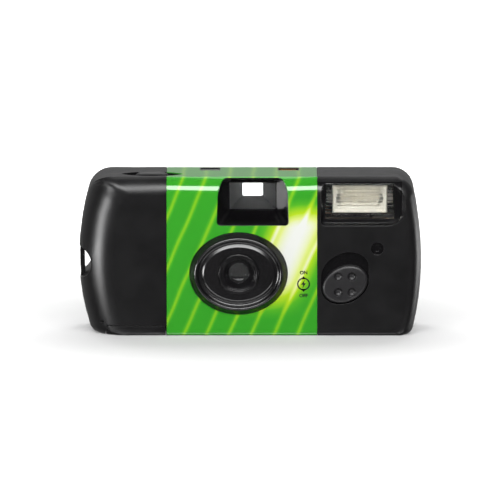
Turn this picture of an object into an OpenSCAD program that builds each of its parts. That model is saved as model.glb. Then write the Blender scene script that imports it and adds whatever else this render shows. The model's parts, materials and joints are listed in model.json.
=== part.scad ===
// Single-use film camera with built-in flash, standing on its base.
// Millimetres. Origin at the middle of the base, +Z up, the lens looks towards -Y.

/* [Body] */
// Width of the body at its widest
body_w = 114; // [113:0.5:118]
// Height of the body
body_h = 53; // [53:0.5:57]
// Depth from the front face to the rear face
body_d = 31.6; // [31.6:0.2:34]
// Thickness of the moulded covers
wall = 1.6; // [1.4:0.1:1.7]
// Distance of the cover seam from the rear face
seam_from_rear = 14; // [13.6:0.1:14.4]
// Radius of the bulged left side
left_arc_r = 76; // [74:1:90]
// Radius of the bulged right side
right_arc_r = 100; // [94:1:120]
// Height at which the sides bulge most
side_mid = 25.5; // [25:0.25:26.5]
// Radius of the top left corner
top_left_r = 8; // [7:0.25:8.5]
// Radius of the top right corner
top_right_r = 7; // [6:0.25:8]
// Radius of the two bottom corners
bottom_r = 3; // [2.6:0.1:3.4]

/* [Edge rounding] */
// Width of the rounding down the left front edge
left_round_w = 12; // [10:0.25:13]
// Depth of the rounding down the left front edge
left_round_d = 12; // [10:0.5:13]
// Width of the rounding down the right front edge
right_round_w = 4.5; // [3.5:0.25:5.5]
// Depth of the rounding down the right front edge
right_round_d = 5; // [4:0.25:6]
// Height of the rounding below the top crease
top_round_h = 6; // [5.5:0.25:6.5]
// Depth of the rounding below the top crease
top_round_d = 4; // [3.5:0.25:4.5]
// Angle at which the rounding meets the flat top
top_round_angle = 62; // [50:1:75]
// Rounding of the rear edges
rear_round = 4; // [3:0.25:4.5]
// Rounding of the edges of the base
base_round = 1.1; // [1:0.05:1.3]
// Corner radius of the flat front and rear faces
face_corner_r = 4; // [3.5:0.25:5]

/* [Label] */
// Left edge of the wrapped label
label_left = -27.7; // [-27.8:0.1:-26.5]
// Right edge of the wrapped label
label_right = 22.3; // [20:0.1:22.4]
// Thickness of the label
label_t = 0.25; // [0.15:0.05:0.35]
// How far the label lies below the moulding
label_sink = 0.05; // [0.02:0.01:0.1]
// Gap between the label and what passes through it
label_gap = 0.15; // [0.1:0.05:0.3]

/* [Lens] */
// Sideways place of the lens axis
lens_x = -3.8; // [-4.4:0.1:-3.4]
// Height of the lens axis
lens_z = 21; // [20.4:0.1:21.4]
// Width of the oval lens panel
dish_w = 32.3; // [31:0.1:33]
// Height of the oval lens panel
dish_h = 27.2; // [26.4:0.1:27.6]
// How far the rim of the lens panel stands out
lens_proud = 2.4; // [2:0.1:2.8]
// Width of the rim and the moat round the panel floor
dish_rim = 4.9; // [4.6:0.05:5.1]
// Width of the bank from the floor down to the bottom of the moat
bank_w = 1.5; // [1.3:0.1:1.7]
// Width of the hollow from the bottom of the moat up to the rim
hollow_w = 0.9; // [0.8:0.05:1]
// Radius of the rounded crest of the rim
rim_round = 0.6; // [0.5:0.05:0.7]
// Depth of the panel floor below its rim
dish_floor = 1.1; // [1:0.05:1.3]
// Depth of the moat below the panel floor
moat_d = 0.6; // [0.5:0.05:0.7]
// Thickness of the hidden flange behind the front cover
flange_t = 0.8; // [0.6:0.1:0.9]
// Radius of the hole for the lens ring
lens_hole_r = 6.9; // [6.6:0.1:7.2]
// Gap round the lens ring
lens_ring_gap = 0.15; // [0.1:0.05:0.25]
// Radius of the lens opening
lens_open_r = 3.4; // [3:0.1:3.8]
// Radius of the taking lens
lens_r = 4.5; // [4.2:0.1:4.8]
// Thickness of the taking lens at its edge
lens_edge = 1.5; // [1.2:0.1:1.7]
// Radius of the aperture
aperture_r = 1.6; // [1.2:0.1:2]

/* [Finder] */
// Sideways place of the viewfinder
finder_x = 0.9; // [0.4:0.1:1.2]
// Width of the finder well at its bottom edge
well_bottom_w = 24.4; // [23.4:0.1:24.8]
// Width of the finder well at its top edge
well_top_w = 23.2; // [22.2:0.1:23.8]
// Distance of the bottom of the finder well from the flat top
well_h = 16.3; // [15.5:0.1:16.5]
// Rise of the mouth of the well above the flat top, so that it opens through the rounding
well_rise = 0.9; // [0.7:0.05:1.1]
// Depth of the finder well
well_d = 6.4; // [5.8:0.1:6.8]
// Width of the finder front opening
panel_w = 15.4; // [14.5:0.1:15.8]
// Height of the finder front opening
panel_h = 9.6; // [9.2:0.1:9.8]
// Distance of the finder front opening from the flat top
panel_drop = 1.7; // [1.7:0.05:2]
// Width of the eyepiece
eyepiece_w = 6.9; // [6:0.1:7.5]
// Height of the eyepiece
eyepiece_h = 4.5; // [4:0.1:4.7]
// Distance of the eyepiece from the flat top
eyepiece_drop = 5.5; // [5.3:0.1:5.8]
// Wall of the finder tunnel
finder_wall = 0.7; // [0.6:0.05:0.8]

/* [Flash] */
// Sideways place of the middle of the flash window
flash_x = 36.35; // [36:0.05:36.8]
// Width of the flash window
flash_w = 22.7; // [21.5:0.1:23]
// Height of the flash window
flash_h = 11.5; // [11:0.1:11.6]
// Distance of the flash window from the flat top
flash_drop = 2.2; // [2.2:0.05:2.5]
// Count of the ribs across the flash window
flash_ribs = 9; // [6:1:12]
// Depth of the bevelled flash well
flash_well_d = 1.3; // [1:0.1:1.4]
// Width of the reflector mouth
reflector_w = 18.3; // [17:0.1:19]
// Height of the reflector mouth
reflector_h = 9.3; // [8.8:0.1:9.6]
// Width of the flat back of the reflector
reflector_back_w = 11.4; // [10:0.1:12]
// Depth of the reflector
reflector_d = 5.4; // [5:0.1:5.8]
// Radius of the flash tube
tube_r = 1.5; // [1.2:0.1:1.7]

/* [Flash switch] */
// Sideways place of the switch knob
knob_x = 31.6; // [31.4:0.1:32]
// Height of the switch knob when off
knob_z = 17.4; // [17.1:0.1:17.7]
// Long half axis of the switch knob
knob_a = 7.9; // [7.6:0.1:8]
// Short half axis of the switch knob
knob_b = 6; // [5.8:0.1:6.1]
// Tilt of the switch knob
knob_tilt = 26; // [20:1:35]
// Slide of the switch from off to on
switch_travel = 4; // [3.5:0.1:4.2]
// Gap round the switch knob
knob_gap = 0.35; // [0.3:0.05:0.5]
// How far the knob stands out of the front face
knob_proud = 0.8; // [0.5:0.1:1.2]
// Depth of the switch well
knob_well_d = 1.3; // [1:0.1:1.4]
// Radius of the finger dimples
dimple_r = 1.45; // [1.2:0.05:1.6]
// Sideways spacing of the finger dimples
dimple_pitch = 4.5; // [4.2:0.05:4.8]
// Upright spacing of the finger dimples
dimple_rise = 5.2; // [4.8:0.05:5.3]
// Width of the stem through the cover
stem_w = 2.6; // [2.2:0.1:3]
// Sideways place of the stem on the knob
stem_x = 2.2; // [2:0.1:2.4]
// Height of the stem through the cover
stem_h = 1.7; // [1.5:0.1:1.9]
// Height of the stem above the middle of the knob
stem_z = 1; // [0.8:0.1:1.2]
// Radius of the round recess above the switch
pinhole_r = 2.1; // [1.8:0.1:2.4]
// Radius of the deeper hole in the round recess
pinhole_core_r = 1.05; // [0.8:0.05:1.2]
// Depth of the round recess
pinhole_d = 1; // [0.8:0.05:1.1]
// Sideways place of the round recess
pinhole_x = 42.3; // [41.5:0.1:43]
// Height of the round recess
pinhole_z = 29.3; // [28.8:0.1:30]

/* [Top] */
// Sideways place of the shutter button
button_x = -32.6; // [-33:0.1:-32]
// Length of the shutter button
button_l = 11.1; // [10:0.1:11.6]
// Width of the shutter button
button_w = 7.6; // [7:0.1:7.7]
// How far the crown of the button stands above the flat top
button_proud = 0.9; // [0.6:0.1:1.2]
// Gap round the shutter button
button_gap = 0.3; // [0.25:0.05:0.4]
// Travel of the shutter button
button_travel = 1.2; // [1.1:0.1:1.3]
// Length of the pointed dish round the button
eye_l = 20.7; // [19.5:0.1:21]
// Width of the pointed dish round the button
eye_w = 10.6; // [10:0.1:11]
// Depth of the pointed dish
eye_d = 0.9; // [0.7:0.05:1]
// Place of the button between front and rear
button_y = -4; // [-4.4:0.1:-3.6]
// Sideways place of the counter window
counter_x = -13.3; // [-13.6:0.1:-13]
// Width of the counter window
counter_w = 6.2; // [5.5:0.1:6.6]
// Length of the counter window
counter_l = 5.6; // [5:0.1:6]
// Radius of the counter dial
dial_r = 6.3; // [5.8:0.1:6.4]
// Sideways place of the pilot light slot
pilot_x = 12.85; // [12.6:0.05:13.2]
// Width of the pilot light slot
pilot_w = 6.5; // [6:0.1:6.8]
// Length of the pilot light slot
pilot_l = 5; // [4.6:0.1:5.2]
// Place of the pilot light slot between front and rear
pilot_y = 8; // [7.6:0.1:8.4]
// Gap round the pilot light guide
pilot_gap = 0.4; // [0.3:0.05:0.6]

/* [Strap eyelet and film door] */
// Height of the strap eyelet
eyelet_z = 23.6; // [23:0.1:24.5]
// Radius of the scooped eyelet notch
eyelet_r = 5.7; // [5.4:0.1:5.9]
// How far the centre of the notch lies outside the body
eyelet_out = 1.5; // [1.3:0.1:1.8]
// Thickness of the strap bar
bar_t = 1.5; // [1.2:0.1:1.7]
// Depth of the strap bar
bar_d = 4; // [3:0.25:5]
// Left end of the film door lip
door_left = -47.9; // [-48.2:0.1:-47.4]
// Right end of the film door lip
door_right = -28.1; // [-28.6:0.1:-28]
// Height of the film door lip
lip_h = 3.2; // [3:0.1:3.6]
// Gap round the film door
door_gap = 0.22; // [0.18:0.02:0.3]
// Radius of the film door knuckle
knuckle_r = 1; // [0.9:0.02:1.02]
// Length of the film door knuckle
knuckle_l = 12; // [10:0.5:14]
// Radius of the hinge stubs
stub_r = 0.5; // [0.45:0.01:0.55]
// Length of each hinge stub
stub_l = 1.4; // [1.2:0.1:1.8]

/* [Film path] */
// Sideways place of the film cassette
cassette_x = -38; // [-38.2:0.1:-37.8]
// Radius of the film cassette
cassette_r = 12.5; // [12.3:0.05:12.55]
// Height of the film cassette
cassette_h = 42; // [41.6:0.1:42.2]
// Sheet thickness of the cassette
cassette_t = 0.5; // [0.4:0.05:0.6]
// Radius of the cassette spool
spool_r = 5.4; // [5:0.1:5.6]
// Width of the film
film_w = 35; // [34.8:0.05:35.1]
// Thickness of the film
film_t = 0.14; // [0.12:0.01:0.16]
// Width of the picture gate
gate_w = 36; // [35:0.25:36.5]
// Height of the picture gate
gate_h = 24; // [23:0.25:24.25]
// Sideways place of the supply chamber
supply_x = 30; // [29.6:0.1:30.2]
// Radius of the film roll
roll_r = 7.6; // [7:0.1:7.8]
// Radius of the supply spool core
core_r = 4; // [3.5:0.1:4.4]
// Radius of the spool pins
pin_r = 1.25; // [1.1:0.05:1.4]
// Radial clearance of pins and shafts
fit = 0.05; // [0.03:0.01:0.08]
// Wall of the chambers and the light tunnel
frame_wall = 1; // [0.9:0.05:1.1]

/* [Wind-on] */
// Radius of the winding wheel
wheel_r = 11.8; // [11.5:0.05:11.9]
// Thickness of the winding wheel
wheel_t = 2.2; // [2:0.1:2.3]
// Count of the teeth round the winding wheel
wheel_teeth = 60; // [40:1:72]
// Radius of the thumb scoop
scoop_r = 14; // [13:0.25:15]
// How far the thumb scoop bares the wheel
scoop_bare = 1.6; // [1.2:0.1:1.8]
// Tip radius of the film sprocket
sprocket_r = 5.9; // [5.7:0.05:6]
// Radius of the sprocket shaft
shaft_r = 1.5; // [1.3:0.05:1.7]
// Sideways place of the sprocket
sprocket_x = -20; // [-20:0.05:-19.7]

/* [Shutter works] */
// Sideways place of the release lever pivot
release_x = -24.2; // [-24.4:0.1:-24]
// Thickness of the release lever
release_t = 0.9; // [0.8:0.05:1]
// Sideways place of the drive lever pivot
drive_x = -16.5; // [-16.8:0.1:-16.2]
// Place of the drive lever pivot between front and rear
drive_y = -1.5; // [-1.8:0.1:-1.2]
// Thickness of the drive lever
drive_t = 1; // [0.8:0.05:1.1]
// Thickness of the shutter blade
blade_t = 0.4; // [0.3:0.05:0.5]
// Radius of the disc of the shutter blade
blade_r = 3.2; // [3:0.1:3.4]
// Radius of the blade pivot
blade_pin_r = 0.9; // [0.8:0.05:1]

/* [Electrics] */
// Radius of the battery cell
battery_r = 5.25; // [5.15:0.05:5.3]
// Length of the battery cell
battery_l = 44.5; // [44:0.1:44.6]
// Left end of the battery cell
battery_left = -24; // [-24.2:0.1:-23.8]
// Radius of the flash capacitor
capacitor_r = 5.7; // [5.4:0.1:5.8]
// Height of the flash capacitor
capacitor_h = 34; // [30:0.5:36]
// Sideways place of the flash capacitor
capacitor_x = 46.6; // [46.5:0.05:46.8]
// Thickness of the circuit board
board_t = 1.2; // [1:0.1:1.4]
// Left edge of the circuit board
board_left = 23; // [22.8:0.1:23.4]
// Right edge of the circuit board
board_right = 52.3; // [50:0.1:52.5]

/* [Hidden] */
$fn = 64;
black = "#2b292c";
inner_black = "#1d1c1e";
clear = "#cfd8dc";
metal = "#b9bcc0";
hull_sides = 32;
corner_n = 7;
side_n = 9;
round_n = 7;
oval_n = 64;

half_w = body_w / 2;
rear_y = (body_d + lens_proud) / 2;
front_y = rear_y - body_d;
seam_y = rear_y - seam_from_rear;
front_in = front_y + wall;
rear_in = rear_y - wall;
top_in = body_h - wall;
label_depth = label_sink + label_t;
far = 80;
slit = 0.3;
touch = 0.1;

cassette_y = rear_in - cassette_r - slit;
cassette_z0 = wall + slit;
cassette_z1 = cassette_z0 + cassette_h;
film_mid = cassette_z0 + cassette_h / 2;
film_y = rear_in - 1.66 - film_t;
film_z0 = film_mid - film_w / 2;
film_z1 = film_mid + film_w / 2;
chamber_r = cassette_r + slit;

shelf_t = 0.9;
shelf_z = cassette_z1 + 0.2;
wheel_z0 = shelf_z + shelf_t + slit;
wheel_z1 = wheel_z0 + wheel_t;
scoop_floor = cassette_y + wheel_r - scoop_bare;
scoop_y = scoop_floor + scoop_r;

lens_back = front_in + flange_t;
ring_r = lens_hole_r - lens_ring_gap;
ring_flange_r = lens_hole_r + 1.3;
ring_back = lens_back + 1;
lens_seat = ring_back - lens_edge - touch;
aperture_t = 0.6;
aperture_back = ring_back + aperture_t;
blade_y0 = aperture_back + 0.4;
blade_y1 = blade_y0 + blade_t;
base_front = blade_y1 + 0.4;
base_t = 2;
base_back = base_front + base_t;
battery_y = front_in + flange_t + 0.35 + battery_r;
battery_z = wall + 0.15 + battery_r;
battery_top = battery_z + battery_r;
blade_x = lens_x - 8.5;
blade_z = lens_z + 4;
tail_h = 9;

gate_t = 1.6;
gate_back = film_y - 0.4;
gate_front = gate_back - gate_t;
tunnel_half = 6.5;
deck_t = 1.2;
deck_z0 = cassette_z1 - 1.9;
deck_z1 = deck_z0 + deck_t;
deck_left = cassette_x + cassette_r + slit;
deck_right = finder_x - panel_w / 2 - finder_wall - 0.9;
deck_front = button_y - 2.3;
partition_y = button_y - 0.2;
supply_y = film_y - roll_r - slit;
supply_r = roll_r + 1.5;
supply_out = supply_r + frame_wall;
supply_z1 = film_z1 + 1.4;
spool_flange_t = 0.8;
spool_flange_r = roll_r + 0.6;
spool_low = film_z0 - 0.2 - spool_flange_t;
supply_floor = spool_low - slit;

sprocket_y = film_y - 0.2 - sprocket_r;
sprocket_t = 1.6;
sprocket_z = max(film_z1 - 3.4, film_mid + gate_h / 2 + frame_wall + slit + sprocket_t / 2);
dial_y = 5.5;
counter_y = dial_y + dial_r / 2;
dial_z0 = top_in - 2.8;
dial_t = 1;
window_flange = 0.8;
finger_z = dial_z0 - 1.4;

release_z = top_in - 0.8 - button_travel;
button_foot = release_z + release_t;
flange_z = top_in - touch - 0.8;
drive_z = deck_z1 + 2.2;
finger_x = blade_x - 1.4;
finger_y0 = blade_y0 - 0.4;

well_back = front_y + well_d;
panel_z1 = body_h - panel_drop;
panel_z0 = panel_z1 - panel_h;
panel_left = finder_x - panel_w / 2;
panel_right = finder_x + panel_w / 2;
lens_plate = 1;
tunnel_front = well_back + lens_plate;
tunnel_top = top_in - touch;
eyepiece_z1 = body_h - eyepiece_drop;
eyepiece_z0 = eyepiece_z1 - eyepiece_h;
gate_top = min(film_z1 + 0.8, eyepiece_z0 - finder_wall - slit);
eyepiece_left = finder_x - eyepiece_w / 2;
eyepiece_right = finder_x + eyepiece_w / 2;
eye_lens = 1.2;
tunnel_rear = rear_in - eye_lens;

flash_z1 = body_h - flash_drop;
flash_z0 = flash_z1 - flash_h;
flash_left = flash_x - flash_w / 2;
flash_right = flash_x + flash_w / 2;
flash_back = front_in + 0.6;
flash_front = front_y + flash_well_d - 0.4;
tube_y = flash_back + reflector_d - 2.6;
tube_z = flash_z1 - 0.5 - reflector_h / 2;
reflector_x = flash_x + 0.1;

knob_floor = front_y + knob_well_d;
backing = 1.1;
backing_y = front_in + backing;
slider_y0 = backing_y + touch;
slider_t = 1;
slider_y1 = slider_y0 + slider_t;
slider_left = label_right - 3;
slider_w = 2.5;
beam_z0 = max(deck_z1, supply_z1 + frame_wall) + touch;
beam_t = 1.7;
board_y0 = slider_y1 + 1.2;
board_y1 = board_y0 + board_t;
board_z0 = 6;
board_z1 = flash_z0 - 0.4;
coil_room = 5.7;
capacitor_y = board_y1 + coil_room + capacitor_r;
capacitor_z0 = wall + 2;

hinge_y = rear_y - knuckle_r - slit / 6;
hinge_z = knuckle_r + slit / 6;
door_r = cassette_r + 0.25;
eyelet_x = -half_w - eyelet_out;

// Blends and arcs
function ease(t) = let (c = min(1, max(0, t))) c * c * (3 - 2 * c);
function mix(a, b, t) = a + (b - a) * t;
function arc(c, r, a0, a1, n, skip = 0) =
    [for (i = [skip:n - skip]) let (a = mix(a0, a1, i / n)) [c.x + r * cos(a), c.y + r * sin(a), a]];
// A value that changes round the outline, by the direction that the outline faces
function round_about(a, right, top, left) =
    let (b = (a + 360) % 360)
    b < 90 ? mix(right, top, ease((b - 20) / 55))
    : b < 180 ? mix(left, top, ease((160 - b) / 55))
    : b <= 270 ? left : right;

// Centre of a corner arc that runs into a side arc and a level edge
function corner(c, side, big, r, z) = [c.x + side * sqrt(pow(big - r, 2) - pow(z - c.y, 2)), z];
function lean(c, big, r, z) = asin((z - c.y) / (big - r));
// Closed outline in the front view with bulged sides, level top and base, and four corner arcs
function outline(x0, x1, z0, z1, big_l, big_r, r_tl, r_tr, r_b) =
    let (l = [x0 + big_l, side_mid], r = [x1 - big_r, side_mid], tilt = 0.001)
    let (a_tr = lean(r, big_r, r_tr, z1 - r_tr), a_br = lean(r, big_r, r_b, z0 + r_b))
    let (a_tl = lean(l, big_l, r_tl, z1 - r_tl), a_bl = lean(l, big_l, r_b, z0 + r_b))
    concat(
        arc(r, big_r, a_br, a_tr, side_n, 1),
        arc(corner(r, 1, big_r, r_tr, z1 - r_tr), r_tr, a_tr, 90, corner_n),
        arc(corner(l, -1, big_l, r_tl, z1 - r_tl), r_tl, 90, 180 - a_tl, corner_n),
        arc(l, big_l, 180 - a_tl, 180 - a_bl, side_n, 1),
        arc(corner(l, -1, big_l, r_b, z0 + r_b), r_b, 180 - a_bl, 270, corner_n),
        arc(corner(r, 1, big_r, r_b, z0 + r_b), r_b, 270 + tilt, 360 + a_br, corner_n));
// Silhouette of the body, and the flat faces that its edges round over to
function silhouette(w) = outline(-half_w + w, half_w - w, w, body_h - w, left_arc_r - w,
    right_arc_r - w, top_left_r - w, top_right_r - w, bottom_r - w);
function front_face(w) = outline(-half_w + left_round_w + w, half_w - right_round_w - w,
    w, body_h - top_round_h - w, left_arc_r - w, right_arc_r - w, face_corner_r - w,
    face_corner_r - w, bottom_r - w);
function rear_face(w) = outline(-half_w + rear_round + w, half_w - rear_round - w, w,
    body_h - rear_round - w, left_arc_r - w, right_arc_r - w, face_corner_r - w, face_corner_r - w,
    bottom_r - w);
// One step of an elliptic rounding: share across and share in depth
function across(f, end) = sin(f * end) / sin(end);
function inward(f, end) = (1 - cos(f * end)) / (1 - cos(end));
function crease(a) = round_about(a, 90, top_round_angle, 90);
function front_depth(a) = round_about(a, right_round_d, top_round_d, left_round_d);
// Height of the rounded base edge at a depth d behind the face, sharp on the inside of the wall
function base_lift(d, w) =
    (1 - w / wall) * base_round * (1 - sqrt(1 - pow(1 - min(1, d / base_round), 2)));
// Rings of the front half, from the flat face back to y_end
function front_rings(w, y_end) =
    let (outer = silhouette(w), face = front_face(w))
    concat(
        [for (s = [0:round_n]) [for (i = [0:len(outer) - 1])
            let (a = outer[i][2], u = across(s / round_n, crease(a)), v = inward(s / round_n, crease(a)))
            let (d = front_depth(a) * v)
            [mix(face[i].x, outer[i].x, u), front_y + w + d,
                max(mix(face[i].y, outer[i].y, u), w + base_lift(d, w))]]],
        [[for (p = outer) [p.x, y_end, p.y]]]);
// Rings of the rear half, from y_start back to the flat rear face
function rear_rings(w, y_start) =
    let (outer = silhouette(w), face = rear_face(w))
    concat(
        [[for (p = outer) [p.x, y_start, p.y]]],
        [for (s = [round_n:-1:0]) [for (i = [0:len(outer) - 1])
            let (u = across(s / round_n, 90), d = rear_round * inward(s / round_n, 90))
            [mix(face[i].x, outer[i].x, u), rear_y - w - d,
                max(mix(face[i].y, outer[i].y, u), w + base_lift(d, w))]]]);
// Cross-section of the middle of the body, seen from the side
function section(w) = concat(
    [for (s = [0:round_n]) [front_y + w + top_round_d * inward(s / round_n, top_round_angle),
        body_h - w - top_round_h * (1 - across(s / round_n, top_round_angle))]],
    [for (s = [round_n:-1:0]) [rear_y - w - rear_round * inward(s / round_n, 90),
        body_h - w - rear_round * (1 - across(s / round_n, 90))]],
    [for (s = [0:round_n]) [rear_y - w - base_round * inward(s / round_n, 90),
        w + base_round * (1 - across(s / round_n, 90))]],
    [for (s = [round_n:-1:0]) [front_y + w + base_round * inward(s / round_n, 90),
        w + base_round * (1 - across(s / round_n, 90))]]);
// Convex outline with each corner turned on its own radius
function unit(v) = v / norm(v);
function rounded(pts, radii, n = 6) =
    let (m = len(pts))
    [for (i = [0:m - 1])
        let (p = pts[i], a = unit(p - pts[(i + m - 1) % m]), b = unit(pts[(i + 1) % m] - p))
        let (na = [a.y, -a.x], nb = [b.y, -b.x], c = p - (na + nb) * radii[i] / (1 + na * nb))
        let (t0 = atan2(na.y, na.x), t1 = atan2(nb.y, nb.x))
        for (k = [0:n]) let (t = mix(t0, t1 < t0 ? t1 + 360 : t1, k / n))
            c + radii[i] * [cos(t), sin(t)]];
function trapezoid(x, w0, w1, z0, z1) =
    [[x - w0 / 2, z0], [x + w0 / 2, z0], [x + w1 / 2, z1], [x - w1 / 2, z1]];
// Tooth that points along +X, from its root to its tip
function trapezoid_out(x0, w0, x1, w1) = [[x0, -w0 / 2], [x1, -w1 / 2], [x1, w1 / 2], [x0, w0 / 2]];
function lay(pts, y) = [for (p = pts) [p.x, y, p.y]];
function oval(x, z, a, b, tilt = 0, n = oval_n) =
    [for (i = [0:n - 1]) let (t = 360 * i / n)
        [x + a * cos(t) * cos(tilt) - b * sin(t) * sin(tilt),
            z + a * cos(t) * sin(tilt) + b * sin(t) * cos(tilt)]];

// Solid skinned over rings of points that run from front to rear
module skin(rings) {
    n = len(rings[0]);
    m = len(rings);
    sides = [for (j = [0:m - 2]) for (i = [0:n - 1]) let (a = j * n + i, b = j * n + (i + 1) % n)
        each [[a, b, b + n], [a, b + n, a + n]]];
    front = [[for (i = [n - 1:-1:0]) i]];
    rear = [[for (i = [0:n - 1]) (m - 1) * n + i]];
    polyhedron([for (r = rings) each r], concat(sides, front, rear));
}
module front_extrude(y0, y1) {
    translate([0, y1, 0]) rotate([90, 0, 0]) linear_extrude(y1 - y0) children();
}
module side_extrude(x0, x1) {
    translate([x0, 0, 0]) rotate([90, 0, 90]) linear_extrude(x1 - x0) children();
}
module up_extrude(z0, z1) {
    translate([0, 0, z0]) linear_extrude(z1 - z0) children();
}
module box(x0, x1, y0, y1, z0, z1) {
    translate([x0, y0, z0]) cube([x1 - x0, y1 - y0, z1 - z0]);
}
module rod_x(y, z, r, x0, x1) {
    translate([x0, y, z]) rotate([0, 90, 0]) cylinder(r = r, h = x1 - x0);
}
module rod_y(x, z, r, y0, y1) {
    translate([x, y1, z]) rotate([90, 0, 0]) cylinder(r = r, h = y1 - y0);
}
module rod_z(x, y, r, z0, z1) {
    translate([x, y, z0]) cylinder(r = r, h = z1 - z0);
}
// Revolves a profile of radius and depth about the lens axis
module lens_turn() {
    translate([lens_x, 0, lens_z]) rotate([90, 0, 0]) rotate_extrude() children();
}

// Everything that lies further out than the label's seat
module label_recess() {
    side_extrude(label_left - label_gap, label_right + label_gap)
        difference() {
            translate([-far, -far]) square(2 * far);
            polygon(section(label_depth));
        }
}
module finder_well(grow) {
    back = rounded(trapezoid(finder_x, panel_w + 2 * grow, panel_w + 2 * grow, panel_z0 - grow,
        panel_z1 + grow), [1, 1, 1, 1]);
    mouth = rounded(trapezoid(finder_x, well_bottom_w + 2 * grow, well_top_w + 2 * grow,
        body_h - well_h - grow, body_h + well_rise + grow), [1.2, 1.2, 1.2, 1.2]);
    skin([lay(mouth, front_y - slit), lay(back, well_back + slit)]);
}
module finder_surround() {
    edge = 1.2;
    top = body_h - wall / 2;
    mouth_share = (wall - touch) / well_d;
    mouth_w = mix(well_bottom_w, panel_w, mouth_share) + 2 * edge;
    mouth_z = mix(body_h - well_h, panel_z0, mouth_share) - edge;
    back_w = panel_w + 2 * edge;
    intersection() {
        skin([lay(trapezoid(finder_x, mouth_w, mouth_w, mouth_z, top), front_in - touch),
            lay(trapezoid(finder_x, back_w, back_w, panel_z0 - edge, top), well_back)]);
        skin(front_rings(wall / 2, seam_y));
    }
}
module flash_well() {
    margin = [1.7, 2.5, 4.1, 1.4];
    bevel = 1.1;
    x0 = flash_left - margin[0];
    x1 = flash_right + margin[2];
    z0 = flash_z0 - margin[1];
    z1 = flash_z1 + margin[3];
    edge = [[x0, z0], [x1, z0], [x1, z1], [x0, z1]];
    inset = [[bevel, bevel], [-bevel, bevel], [-bevel, -bevel], [bevel, -bevel]];
    skin([lay(rounded(edge, [1.5, 6, 7, 1.5]), front_y - touch),
        lay(rounded(edge + inset, [1, 5, 6, 1]), front_y + flash_well_d)]);
}
module knob_outline(grow) {
    polygon(oval(knob_x, knob_z, knob_a + grow, knob_b + grow, knob_tilt));
}
module knob_track(grow) {
    hull() {
        knob_outline(grow);
        translate([0, switch_travel]) knob_outline(grow);
    }
}
module stem_room(grow, y0, y1, travel) {
    x = knob_x + stem_x;
    z = knob_z + stem_z;
    box(x - stem_w / 2 - grow, x + stem_w / 2 + grow, y0, y1,
        z - stem_h / 2 - grow, z + stem_h / 2 + travel + grow);
}
module eye_outline(grow) {
    r = (pow(eye_l / 2, 2) + pow(eye_w / 2, 2)) / eye_w;
    intersection_for (s = [-1, 1])
        translate([button_x, button_y + s * (r - eye_w / 2)]) circle(r + grow);
}
module button_outline(grow) {
    polygon(oval(button_x, button_y, button_l / 2 + grow, button_w / 2 + grow));
}
module dish_outline(grow) {
    polygon(oval(lens_x, lens_z, dish_w / 2 + grow, dish_h / 2 + grow));
}
module rounded_rect(x, y, w, l, r) {
    polygon(rounded(trapezoid(x, w, w, y - l / 2, y + l / 2), [r, r, r, r]));
}
// Room of the film door: a round panel under the cassette, a front lip and a tongue to the hinge
module door_room(grow, z0) {
    up_extrude(z0, wall + grow) {
        translate([cassette_x, cassette_y]) circle(door_r + grow);
        translate([door_left - grow, front_y - 1])
            square([door_right - door_left + 2 * grow, cassette_y - front_y]);
        translate([cassette_x - knuckle_l / 2 - grow, cassette_y])
            square([knuckle_l + 2 * grow, hinge_y - cassette_y]);
    }
    box(door_left - grow, door_right + grow, front_y - 1, front_in + grow, z0, lip_h + grow);
}
module door_knuckle(grow) {
    rod_x(hinge_y, hinge_z, knuckle_r + grow, cassette_x - knuckle_l / 2 - grow,
        cassette_x + knuckle_l / 2 + grow);
}
module eyelet_notch() {
    rod_y(eyelet_x, eyelet_z, eyelet_r, front_y - 1, rear_y + 1);
}
// Closed wall behind the scooped notch, inside one half of the body
module eyelet_wall(rings) {
    intersection() {
        rod_y(eyelet_x, eyelet_z, eyelet_r + wall, front_y, rear_y);
        skin(rings);
    }
}
module strap_bar() {
    intersection() {
        rod_y(eyelet_x, eyelet_z, eyelet_r + wall / 2, seam_y - bar_d, seam_y);
        front_extrude(seam_y - bar_d, seam_y) difference() {
            polygon([for (p = silhouette(slit)) [p.x, p.y]]);
            polygon([for (p = silhouette(slit + bar_t)) [p.x, p.y]]);
        }
    }
}

module front_cover() {
    latch_w = 2.6;
    latch_h = 0.8;
    latch_z = 4.5;
    color(black) {
        difference() {
            union() {
                difference() {
                    skin(front_rings(0, seam_y));
                    skin(front_rings(wall, seam_y + 1));
                }
                finder_surround();
                front_extrude(front_in - touch, backing_y) knob_track(1.2);
                eyelet_wall(front_rings(wall / 2, seam_y));
            }
            label_recess();
            finder_well(0);
            flash_well();
            box(flash_left - touch, flash_right + touch, front_y - 1, flash_back + reflector_d + 1,
                flash_z0 - touch, flash_z1 + touch);
            front_extrude(front_y - 1, front_in + 1) dish_outline(touch);
            front_extrude(front_y - 1, knob_floor) knob_track(knob_gap);
            stem_room(slit, front_y, backing_y + 1, switch_travel);
            rod_y(pinhole_x, pinhole_z, pinhole_r, front_y - 1, front_y + pinhole_d);
            rod_y(pinhole_x, pinhole_z, pinhole_core_r, front_y, front_in - slit);
            up_extrude(body_h - eye_d, body_h + 1) eye_outline(0);
            up_extrude(top_in - 1, body_h + 1) button_outline(button_gap);
            eyelet_notch();
            door_room(door_gap, -1);
            box(door_left - 3.4, door_left - 3.4 + latch_w, front_y - 1, front_y + 3.2,
                latch_z - latch_h / 2, latch_z + latch_h / 2);
        }
        strap_bar();
    }
}

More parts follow.
